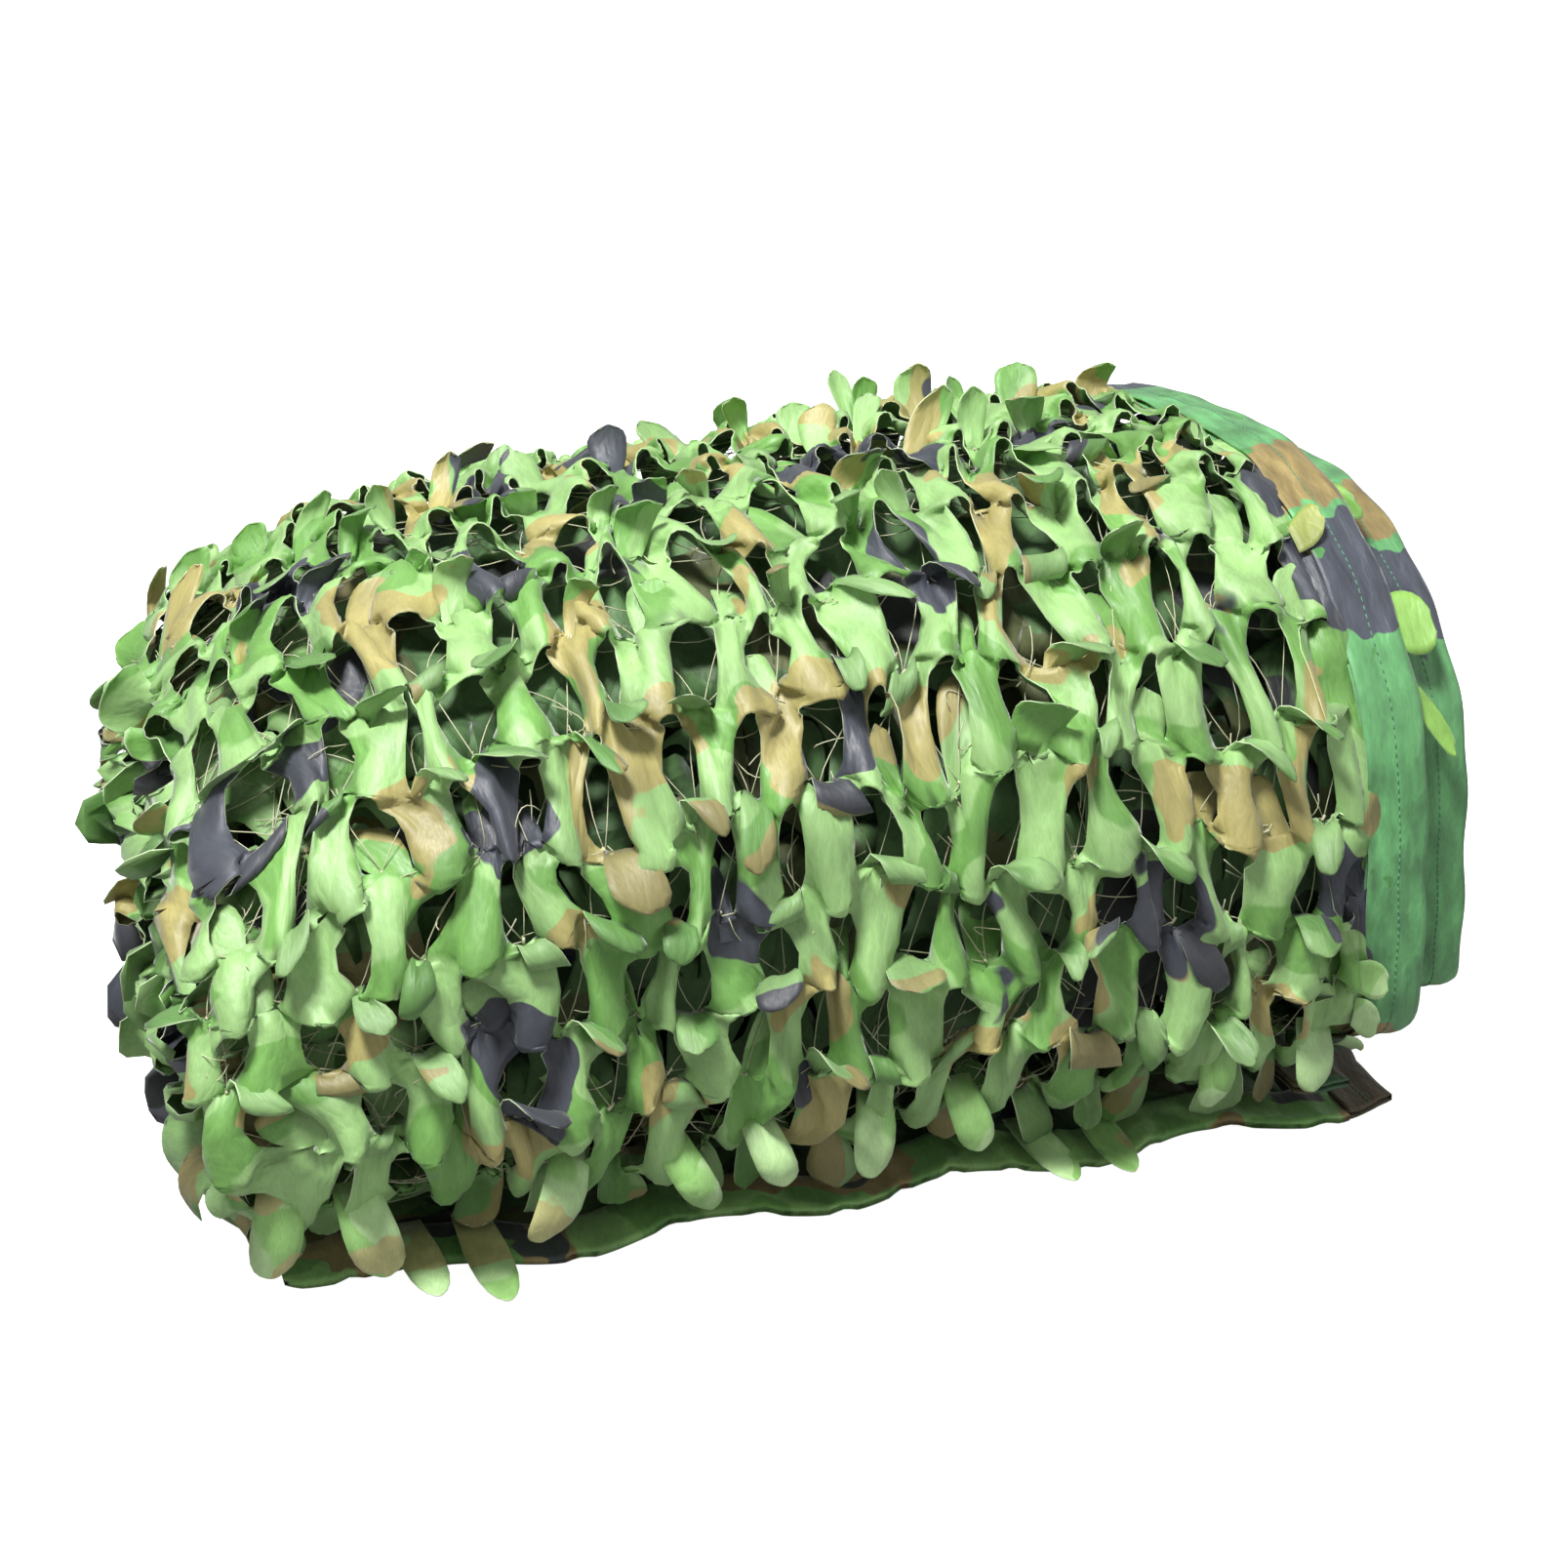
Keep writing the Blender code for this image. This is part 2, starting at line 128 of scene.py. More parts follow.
def strip_path():
    """Points (y, z), length so far, slip along X, and where each of the 15 parts begins."""
    (y0, slip0), (y1, slip1), (y2, slip2), (y3, slip3) = BACK_TURNS
    top = [CENTRE_Z + OUTER_HALF - fold * STRIP_PITCH for fold in range(3)]
    bottom = [CENTRE_Z - OUTER_HALF + fold * STRIP_PITCH for fold in range(3)]
    radius = STRIP_PITCH / 2
    core = (top[2] - CENTRE_Z) / 2
    middle = FRONT_CENTRE_Y
    parts = (
        (run_line(FLOOR_FRONT_Y, y0, FLOOR_RUN_Z), slip0, slip0),
        (turn_curve(y0, FLOOR_RUN_Z + radius, radius, -1), slip0, 0.0),
        (run_line(y0, middle, bottom[0]), 0.0, 0.0),
        (front_curve(0), 0.0, 0.0),
        (run_line(middle, y1, top[0]), 0.0, 0.0),
        (turn_curve(y1, top[0] - radius, radius, 1), 0.0, slip1),
        (run_line(y1, middle, top[1]), slip1, slip1),
        (front_curve(1)[::-1], slip1, slip2),
        (run_line(middle, y2, bottom[1]), slip2, slip2),
        (turn_curve(y2, bottom[1] + radius, radius, -1), slip2, slip3),
        (run_line(y2, middle, bottom[2]), slip3, slip3),
        (front_curve(2), slip3, slip3),
        (run_line(middle, y3, top[2]), slip3, slip3),
        (turn_curve(y3, CENTRE_Z + core, core, 1), slip3, CORE_SLIP),
        (run_line(y3, CORE_FRONT_Y, CENTRE_Z), CORE_SLIP, CORE_SLIP),
    )
    points = np.concatenate([part[0][1:] for part in parts])
    points = np.r_[parts[0][0][:1], points]
    slips = [np.linspace(part[1], part[2], CURVE_STEPS + 1)[1:] for part in parts]
    slips = np.r_[parts[0][1], np.concatenate(slips)]
    steps = np.linalg.norm(np.diff(points, axis=0), axis=1)
    lengths = np.r_[0, np.cumsum(steps)]
    return points, lengths, slips, lengths[::CURVE_STEPS]


PATH, LENGTHS, SLIPS, BEGINS = strip_path()
CLOTH_LENGTH = LENGTHS[-1]
FRONT_START, OUTER_END = BEGINS[3], BEGINS[5]  # the outer front, and the end of the top run
directions = np.diff(PATH, axis=0)
directions /= np.linalg.norm(directions, axis=1)[:, None]
TANGENTS = np.r_[directions[:1], directions[1:] + directions[:-1], directions[-1:]]
print(f"cloth {CLOTH_WIDTH:.3f} m x {CLOTH_LENGTH:.3f} m")

# %% [markdown]
# The bundle is uneven: it leans back, its top is highest at the right and in front, and
# its edge on the floor is wavy. These numbers are the solids' own.

# %% The bundle's unevenness
LEAN = 0.137
FLAT_HEIGHT = 0.040
CROWN, CROWN_X, CROWN_REACH, BACK_DROP, RIDGE_Y = 0.060, 0.305, 0.449, 1.2, -0.037
SHOULDER_X, SHOULDER_REACH, SHOULDER_DROP, SHOULDER_BULGE = -0.200, 0.150, 0.164, 0.016
WAVE, WAVE_LENGTH, WAVE_TILT, WAVE_END_X, WAVE_FADE = 0.004, 0.310, 1.4, 0.300, 0.060
HEM_WAVE, HEM_WAVE_LENGTH, HEM_WAVE_X, HEM_DRAWN_IN = 0.010, 0.166, -0.016, 0.054
HEM_CORNER_X, HEM_CORNER_REACH, HEM_CORNER, HEM_FADE = -0.270, 0.080, 0.023, 0.060
HEM_START = 0.045
LOWEST = 0.0007  # the underside of the cloth's middle, on the floor


def uneven(x, y, z, hem):
    """The bundle's unevenness: a crown and a shoulder in z, waves in y, a drawn-in hem."""
    high = smooth(share(z, FLAT_HEIGHT, TOP_RUN_Z - FLAT_HEIGHT))
    shoulder = share(-x, -SHOULDER_X, SHOULDER_REACH) ** 2
    crown = CROWN * (1 - ((x - CROWN_X) / CROWN_REACH) ** 2)
    crown = crown - BACK_DROP * (y - RIDGE_Y) ** 2 - SHOULDER_DROP * shoulder
    fade = share(-x, -WAVE_END_X, WAVE_FADE)
    wave = WAVE * np.sin(2 * np.pi * (x / WAVE_LENGTH + WAVE_TILT * z)) * high * fade
    bulge = SHOULDER_BULGE * shoulder * np.sin(np.pi * np.minimum(z / TOP_RUN_Z, 1))
    hem_wave = HEM_WAVE * np.cos(2 * np.pi * (x - HEM_WAVE_X) / HEM_WAVE_LENGTH)
    hem_wave = hem_wave - HEM_CORNER * share(-x, -HEM_CORNER_X, HEM_CORNER_REACH)
    return np.stack(
        (
            x * (1 - HEM_DRAWN_IN * hem) - bulge - MIDDLE[0],
            y + LEAN * (z - CENTRE_Z) + wave - hem_wave * hem - MIDDLE[1],
            np.maximum(z * (1 + crown * high), LOWEST),
        ),
        axis=-1,
    )


def folded(a, s, lift):
    """Places in space of flat points (a, s), lifted towards the printed side.

    With the path's point p(s), its normal n(s) and the doubled section's point q(a) and
    normal m(a), it is p + n (q + lift m), plus q and lift m along X, made uneven.
    """
    a, s, lift = np.broadcast_arrays(a, s, lift)
    at = np.clip(s, 0, CLOTH_LENGTH)
    y, z = (np.interp(at, LENGTHS, PATH[:, k]) for k in (0, 1))
    ty, tz = (np.interp(at, LENGTHS, TANGENTS[:, k]) for k in (0, 1))
    size = np.hypot(ty, tz)
    ty, tz = ty / size, tz / size
    slip = np.interp(at, LENGTHS, SLIPS)
    turn = np.clip((a - FOLD_START) / FOLD_RADIUS, 0, np.pi)
    x = FOLD_X - FOLD_RADIUS * np.sin(turn)
    x = x + np.maximum(FOLD_START - a, 0) + np.maximum(a - FOLD_END, 0)
    height = (FOLD_RADIUS + lift) * np.cos(turn)
    x = x + slip - lift * np.sin(turn)
    beyond = np.minimum(s, 0)
    hem = 1 - share(s, HEM_START, HEM_FADE)
    return uneven(x, y - tz * height + ty * beyond, z + ty * height, hem)


# %% [markdown]
# Maker's cut: rows of arched cuts, each row shifted by half a pitch. The cut's tongue
# stays on at the foot of its arch. The rows and columns are those of the solid, and run on
# over the whole cloth.

# %% The rows and columns of the cut
COLUMNS = 34
CUT_RIGHT = 0.0445  # across, a little inside the binding
COLUMNS_TO_FOLD = 16.5
COLUMN_PITCH = (FOLD_MIDDLE - CUT_RIGHT) / COLUMNS_TO_FOLD
MARGIN = 0.030
CUT_START_Y = -0.135  # on the outer fold, low at the front
OUTER_ROWS = 13
search = FRONT_START + 0.001 * np.arange(400)
CUT_START = search[np.argmax(np.interp(search, LENGTHS, PATH[:, 0]) <= CUT_START_Y)]
ROW_PITCH = (OUTER_END - CUT_START) / OUTER_ROWS
FIRST_ROW = -15
LAST_ROW = 49
LIP = 0.95  # a stem's lip, in rows above its own row's foot
STEM = 1.12  # a stem's length in rows
grid = (LAST_ROW - FIRST_ROW + 6, COLUMNS + 6)


def even(low, high):
    """One number for each row and column, evenly spread."""
    return chance.uniform(low, high, grid)


def scattered(number, spread):
    """Random vectors, evenly spread up to `spread` either way."""
    return chance.uniform(-1, 1, (number, 3)) * spread


proud = 0.0125 * even(0.55, 1.45)
lean = even(-1, 1) * 0.006
twist = even(-1, 1) * 0.007
droop = even(0.0, 1.0) * 0.009
hollow = even(0.7, 1.3)
hole_wide = even(0.86, 1.16)
hole_skew = even(-0.22, 0.22)
hole_high = even(0.90, 1.06)


def place_of(row, column):
    """Where a row and column lie in the tables of random numbers."""
    return row - FIRST_ROW + 3, column + 3


on_top = slice(place_of(11, 0)[0], place_of(16, 0)[0])  # these rows lie flatter, on the bundle
proud[on_top] *= 0.75
hole_wide[on_top] *= 0.88
hole_high[on_top] *= 0.88


def layer_share(a):
    """1 on the outer layer and the fold, less on the inner layer, which has less room."""
    return 1 - 0.35 * smooth((a - FOLD_END) / 0.02)


def relief(a, s):
    """How the cut cloth stands off the strip: shifts along a and s, and a lift.

    Each stem runs from a tied foot (t = 1) down to a proud lip (t = 0).  At (t, d), d in
    half pitches from its middle, its lift is proud (1 - t) - 0.004 t - 0.022 hollow d^2
    + twist d.  Neighbouring stems are blended by windows in t and d.
    """
    r = (s - CUT_START) / ROW_PITCH
    c = (a - CUT_RIGHT) / COLUMN_PITCH
    total = np.full_like(r, 0.02)
    out = [np.zeros_like(r), np.zeros_like(r), total * -0.002]
    newest = np.floor(r - 0.36).astype(int)
    for back in range(3):
        row = np.clip(newest - back, FIRST_ROW - 2, LAST_ROW + 2)
        shift = 0.5 * (row % 2)
        nearest = np.floor(c - shift).astype(int)
        side = np.where(c - shift - nearest < 0.5, -1, 1)
        for column in (nearest, nearest + side):
            t = (r - row - LIP) / STEM
            d = 2 * (c - shift - column - 0.5)
            w = smooth((t + 0.52) / 0.36) * smooth((1.14 - t) / 0.2)
            w = w * np.cos(np.pi * np.clip(np.abs(d) / 2.4, 0, 0.5)) ** 2
            k = place_of(row, np.clip(column, -2, COLUMNS + 1))
            rise = np.clip(1 - t, 0, 1.1)
            lift = proud[k] * rise - 0.004 * np.clip(t, 0, 1)
            lift = lift - 0.022 * hollow[k] * d**2 * (0.55 + 0.45 * rise) + twist[k] * d
            out[0] = out[0] + w * (lean[k] * rise - 0.0045 * d * np.clip(t, 0, 1))
            out[1] = out[1] - w * droop[k] * rise**2
            out[2] = out[2] + w * lift
            total = total + w
    return [value / total for value in out]


# %% [markdown]
# One cell of the cut is a rectangle round one arch, with its tongue. It is drawn once, at
# three levels of detail, and repeated: fine in front, plainer where it is out of sight.


# %% One cell of the cut
def grid_quads(ids, closed=False):
    """Quads between neighbours in grids of point numbers (..., rows, columns).

    A closed grid's last column is joined to its first.
    """
    if closed:
        ids = np.concatenate((ids, ids[..., :1]), axis=-1)
    corners = (ids[..., :-1, :-1], ids[..., :-1, 1:], ids[..., 1:, 1:], ids[..., 1:, :-1])
    return np.stack(corners, axis=-1).reshape(-1, 4)


def cell_template(across, up, rings, tongue_rows):
    """Border, rings and tongue of a cell, in half pitches, as points and quads.

    The border runs anticlockwise from the lower left corner with `across` and `up` steps.
    """
    bottom = np.linspace(-1, 1, across + 1)
    side = np.linspace(-1, 1, up + 1)
    border = np.concatenate(
        (
            np.c_[bottom[:-1], np.full(across, -1.0)],
            np.c_[np.full(up, 1.0), side[:-1]],
            np.c_[-bottom[:-1], np.full(across, 1.0)],
            np.c_[np.full(up, -1.0), -side[:-1]],
        )
    )
    count = len(border)
    angle = np.arctan2(border[:, 1], border[:, 0])
    cos, sin = np.cos(angle), np.sin(angle)
    wide = np.sign(cos) * np.abs(cos) ** np.where(sin > 0, 0.95, 0.75) * (1 + 0.06 * sin)
    high = np.sign(sin) * np.abs(sin) ** np.where(sin > 0, 1.0, 0.75)
    hole = np.c_[0.51 * wide, 0.88 * high]
    if not tongue_rows:
        hole = hole * 0.02  # whole cloth, for what lies out of sight
    depth = np.linspace(0, 1, rings + 1) ** 0.9
    ids = np.arange((rings + 1) * count).reshape(rings + 1, count)
    hinge = [k for k in range(across) if abs(border[k, 0]) <= 0.51]
    return {
        "border": border,
        "hole": hole,
        "depth": depth,
        "quads": grid_quads(ids, closed=True),
        "hinge": np.array(hinge),
        "tongue_rows": tongue_rows,
    }


DETAILS = {
    "fine": cell_template(12, 4, 4, 7),
    "middling": cell_template(6, 2, 2, 4),
    "closed": cell_template(4, 2, 1, 0),
}


def cloth_points(detail, rows, columns):
    """Flat points (cells, points, 2) of the cells' rings, each hole with its own shape."""
    plan = DETAILS[detail]
    k = place_of(rows, columns)
    u = plan["hole"][None, :, 0] * hole_wide[k][:, None]
    v = plan["hole"][None, :, 1] * hole_high[k][:, None]
    u = u + hole_skew[k][:, None] * v
    hole = np.stack((u, np.minimum(v, 0.93)), axis=-1)
    border = np.broadcast_to(plan["border"], hole.shape)
    depth = plan["depth"][None, :, None, None]
    points = border[:, None] * (1 - depth) + hole[:, None] * depth
    points = points.reshape(len(rows), -1, 2)
    middle_a = CUT_RIGHT + (columns + 0.5 + 0.5 * (rows % 2)) * COLUMN_PITCH
    middle_s = CUT_START + (rows + 0.5) * ROW_PITCH
    flat_a = middle_a[:, None] + points[..., 0] * COLUMN_PITCH / 2
    flat_s = middle_s[:, None] + points[..., 1] * ROW_PITCH / 2
    return np.stack((flat_a, flat_s), axis=-1)


# %% [markdown]
# A tongue is what the arched cut leaves: a leaf of cloth, about 24 mm wide and 38 mm long,
# that bends about its hinge and curls. No two curl alike.

# %% Tongues
TONGUE_LENGTH = 0.038
tongue_long = TONGUE_LENGTH * even(0.8, 1.12)
kind = chance.choice(4, grid, p=(0.40, 0.28, 0.18, 0.14))
#                       in the hole   curled out   folded over   rolled
first_bend = np.choose(kind, (even(-48, -4), even(15, 70), even(85, 125), even(25, 60)))
curl = np.choose(kind, (even(-30, 50), even(60, 170), even(10, 90), even(230, 330)))
bottom = slice(place_of(-1, 0)[0], place_of(2, 0)[0])  # the lowest three rows in front
first_bend[bottom] = even(95, 150)[bottom]  # hang down over the hem
curl[bottom] = even(-40, 50)[bottom]
tongue_long[bottom] *= 1.15
near_crest = slice(place_of(11, 0)[0], place_of(13, 0)[0])  # these lie in their holes
first_bend[near_crest] *= 0.4
curl[near_crest] *= 0.5
first_bend, curl = np.radians(first_bend), np.radians(curl)
sideways = np.radians(even(-34, 34))
cupped = even(-22, 26)
#  share of the length, half width in metres
TONGUE_OUTLINE = np.array(
    (
        (0, 0.0076), (0.2, 0.0098), (0.55, 0.0118), (0.8, 0.0114),
        (0.92, 0.0094), (0.98, 0.0064), (1, 0.0040),
    )
)


def tongue_shares(plan):
    """Where a tongue's rows lie along it: sin(90 degrees t), closer together at its round end."""
    return np.sin(np.pi / 2 * np.arange(1, plan["tongue_rows"] + 1) / plan["tongue_rows"])


def tongue_points(detail, rows, columns, hinge, calm):
    """Places (cells, tongue rows, width, 3) as (a, s, lift) of tongues on their hinges.

    Along a tongue the direction is first_bend + curl q from the cloth's own, q from 0 to
    1.  Its middle line is the sum of these directions, and it is cupped across.
    """
    plan = DETAILS[detail]
    k = place_of(rows, columns)
    q = tongue_shares(plan)
    before = np.r_[0, q[:-1]]
    angle = (first_bend[k][:, None] + curl[k][:, None] * (q + before) / 2) * (1 - calm)
    step = tongue_long[k][:, None] * (q - before)
    up = np.cumsum(np.cos(angle) * step, axis=1)
    out = np.cumsum(np.sin(angle) * step, axis=1)
    aside = np.cumsum(step, axis=1) * np.sin(sideways[k])[:, None]
    half = np.interp(q, TONGUE_OUTLINE[:, 0], TONGUE_OUTLINE[:, 1])[None, :, None]
    place = np.linspace(-1, 1, hinge.shape[1])[None, None, :]
    centre = hinge.mean(axis=1)[:, None, None, :]
    rounded = 1 - 0.07 * place**2 * (q**3)[None, :, None]
    bowl = cupped[k][:, None, None] * (place * half) ** 2 * np.minimum(1, 2 * q)[None, :, None]
    normal_s, normal_out = -np.sin(angle)[..., None], np.cos(angle)[..., None]
    along_a = place * half * np.cos(sideways[k])[:, None, None] + aside[..., None] * rounded
    along_s = up[..., None] * rounded + bowl * normal_s
    lift = out[..., None] * rounded + bowl * normal_out
    along_s = along_s - place * half * np.sin(sideways[k])[:, None, None] * 0.6
    points = centre + np.stack(np.broadcast_arrays(along_a, along_s, lift), axis=-1)
    first = TONGUE_OUTLINE[0, 1] * np.linspace(-1, 1, hinge.shape[1])
    rest = hinge - hinge.mean(axis=1, keepdims=True)
    rest = rest - np.stack((first, 0 * first, 0 * first), axis=-1)[None]
    fade = ((1 - q) ** 2)[None, :, None, None]
    return points + rest[:, None] * fade


# %% [markdown]
# The leaf cloth is fuller than the mesh it is tied to. Between its tied feet it can only
# bulge outwards, which makes the half-pipes and bells of a real net. A short relaxation
# does the same here: every thread of the cloth goes back to its cut length.


# %% Settling the cloth
FULL_ACROSS = 1.42  # cloth for each metre of mesh
FULL_ALONG = 1.12
LIP_FULLNESS = 0.13  # how much fuller the lips are than the stems
UNEVEN_FULLNESS = 0.10
DEEPEST, PROUDEST = -0.007, 0.026
FOOT_JITTER, FOOT_RISE = (0.0045, 0.0060, 0.0045), 0.0015
DIAGONAL_STRENGTH, BENDING_STRENGTH = 0.6, 0.35  # an edge's is 1
KEPT_MOTION = 0.82
STEP_SHARE = 0.7  # of a correction, made in one step


def fullness(flat):
    """How much longer the cloth is than its mesh at flat points, across and along.

    Across it is FULL_ACROSS (1 + LIP_FULLNESS cos(2 pi r) + uneven waves), r counting rows.
    """
    a, s = flat.T
    wave = np.sin(2 * np.pi * (a / 0.113 + 0.4 * np.sin(s / 0.031)))
    wave = wave * np.sin(2 * np.pi * (s / 0.137 + 0.5 * np.sin(a / 0.027)))
    lips = LIP_FULLNESS * np.cos(2 * np.pi * (s - CUT_START) / ROW_PITCH)
    across = FULL_ACROSS * (1 + lips + UNEVEN_FULLNESS * wave)
    return np.c_[across, FULL_ALONG * (1 + 0.4 * UNEVEN_FULLNESS * wave)]


def thread_pairs(quads):
    """Pairs of points: the quads' edges and diagonals, and the ones that resist bending.

    Two quads that share an edge are bent about it; the pairs join the points before and
    after the edge, straight across it.
    """
    start, end = quads.ravel(), np.roll(quads, -1, axis=1).ravel()
    before, after = np.roll(quads, 1, axis=1).ravel(), np.roll(quads, -2, axis=1).ravel()
    low, high = np.minimum(start, end), np.maximum(start, end)
    order = np.lexsort((high, low))
    low, high = low[order], high[order]
    twin = np.flatnonzero((low[1:] == low[:-1]) & (high[1:] == high[:-1]))
    one, other = order[twin], order[twin + 1]
    bending = np.r_[np.c_[before[one], after[other]], np.c_[after[one], before[other]]]
    edges = np.unique(np.c_[low, high], axis=0)
    diagonals = np.r_[quads[:, (0, 2)], quads[:, (1, 3)]]
    return edges, diagonals, bending


def settle(points, flat, quads, held, steps):
    """Moves points (a, s, lift) until the pairs have their lengths in `flat` times fullness.

    Each step moves both ends of a pair by half of its error, averaged over a point's
    pairs, and keeps a part of the last step's motion. A bending pair only pushes.
    """
    edges, diagonals, bending = thread_pairs(quads)
    pairs = np.r_[edges, diagonals, bending]
    counts = (len(edges), len(diagonals), len(bending))
    strength = np.repeat((1, DIAGONAL_STRENGTH, BENDING_STRENGTH), counts)
    push_only = np.repeat((False, False, True), counts)
    i, j = pairs.T
    rest = np.linalg.norm((flat[i] - flat[j]) * fullness((flat[i] + flat[j]) / 2), axis=1)
    number = len(points)
    weight = np.bincount(i, strength, number) + np.bincount(j, strength, number)
    each = (~held / np.maximum(weight, 1))[:, None]
    proudest = PROUDEST * (1 - 0.5 * np.exp(-(((points[:, 0] - FOLD_MIDDLE) / 0.035) ** 2)))
    last = points.copy()
    for _ in range(steps):
        gap = points[j] - points[i]
        length = np.linalg.norm(gap, axis=1)
        error = (length - rest) / np.maximum(length, 1e-6) * strength
        error[push_only & (error > 0)] = 0
        pull = gap * error[:, None]
        sums = [np.bincount(i, p, number) - np.bincount(j, p, number) for p in pull.T]
        kept = KEPT_MOTION * (points - last) * each.astype(bool)
        moved = points + kept + STEP_SHARE * each * np.stack(sums, axis=1)
        moved[:, 2] = np.clip(moved[:, 2], DEEPEST, proudest)
        last, points = points, moved
    return points


# %% [markdown]
# Cloth is put together from cells: shared border points become one, hinges join the
# tongues, and plain margins run along the cut's two ends.


# %% Cloth from cells
CLOTH_THICKNESS = 0.0006


def mesh_object(name, points, faces, flat=None):
    """A mesh object from arrays, with a UV map `flat` in metres where it is given."""
    mesh = bpy.data.meshes.new(name)
    size = faces.shape[1]
    mesh.vertices.add(len(points))
    mesh.vertices.foreach_set("co", np.ascontiguousarray(points, np.float32).ravel())
    mesh.loops.add(faces.size)
    mesh.loops.foreach_set("vertex_index", np.ascontiguousarray(faces, np.int32).ravel())
    mesh.polygons.add(len(faces))
    mesh.polygons.foreach_set("loop_start", np.arange(0, faces.size, size, dtype=np.int32))
    mesh.polygons.foreach_set("use_smooth", np.ones(len(faces), bool))
    if flat is not None:
        layer = mesh.uv_layers.new(name="flat")
        layer.uv.foreach_set("vector", flat[faces.ravel()].astype(np.float32).ravel())
    mesh.update(calc_edges=True)
    mesh.validate()
    made = bpy.data.objects.new(name, mesh)
    scene.collection.objects.link(made)
    return made


def give_thickness(made):
    """Cloth on both sides of a surface, with its reverse and its cut edge in slots 1 and 2."""
    thick = made.modifiers.new("cloth", "SOLIDIFY")
    thick.thickness, thick.offset = CLOTH_THICKNESS, 0
    thick.material_offset, thick.material_offset_rim = 1, 2


def margin_cells(detail, rows, at_right):
    """Plain quads beside the cut: the bare margin, and half a pitch in the shifted rows.

    They have one step more up and one less across than a cell, and share its corners only.
    """
    plan = DETAILS[detail]
    up = int((plan["border"][:, 0] == 1).sum())
    across = (len(plan["border"]) - 2 * up) // 2
    v = np.linspace(0, 1, up + 1)
    cut_end = CUT_RIGHT + COLUMNS * COLUMN_PITCH
    blocks = []
    for row in rows:
        inner = np.linspace(0, 0.5, across // 2 + 1)[1:] if row % 2 else np.zeros(0)
        if at_right:
            places = np.r_[MARGIN, CUT_RIGHT + np.r_[0, inner] * COLUMN_PITCH]
        else:
            places = np.r_[cut_end - np.r_[inner[::-1], 0] * COLUMN_PITCH, CLOTH_WIDTH - MARGIN]
        a, s = np.meshgrid(places, CUT_START + (row + v) * ROW_PITCH)
        quads = grid_quads(np.arange(a.size).reshape(a.shape))
        blocks.append(np.stack((a.ravel(), s.ravel()), axis=-1)[quads])
    return np.concatenate(blocks)


def tied_feet(flat):
    """Which flat points are feet: the middle of each hinge, where the cloth is tied."""
    r = (flat[:, 1] - CUT_START) / ROW_PITCH
    c = (flat[:, 0] - CUT_RIGHT) / COLUMN_PITCH
    from_foot = c - 0.5 * (np.round(r).astype(int) % 2) - 0.5
    return (np.abs(r - np.round(r)) < 0.01) & (np.abs(from_foot - np.round(from_foot)) < 0.1)


def wandered(a, s, lift):
    """Flat points moved by the slack of the mesh, up to 9 mm, so that rows and columns wander.

    The shifts are sums of sines across and along, and fade out at the bindings.
    """
    free = smooth((a - MARGIN) / 0.06) * smooth((CLOTH_WIDTH - MARGIN - a) / 0.06)
    one = np.sin(2 * np.pi * (s / 0.213 + 0.5 * np.sin(a / 0.036)))
    two = np.sin(2 * np.pi * (s / 0.101 + a / 0.157))
    three = np.sin(2 * np.pi * (a / 0.187 + 0.4 * np.sin(s / 0.047)))
    four = np.sin(2 * np.pi * (a / 0.089 - s / 0.219))
    across = free * (0.0055 * one + 0.0032 * two)
    along = free * (0.0055 * three + 0.0030 * four)
    return a + across, s + along, lift


def flat_of_face(points, quads):
    """The middle of each quad."""
    return points[quads].mean(axis=1)


def area_of(flat, quads):
    """The area of flat quads, by half the cross product of their diagonals."""
    one, other = (flat[quads[:, k + 2]] - flat[quads[:, k]] for k in (0, 1))
    return float(np.abs(one[:, 0] * other[:, 1] - one[:, 1] * other[:, 0]).sum() / 2)


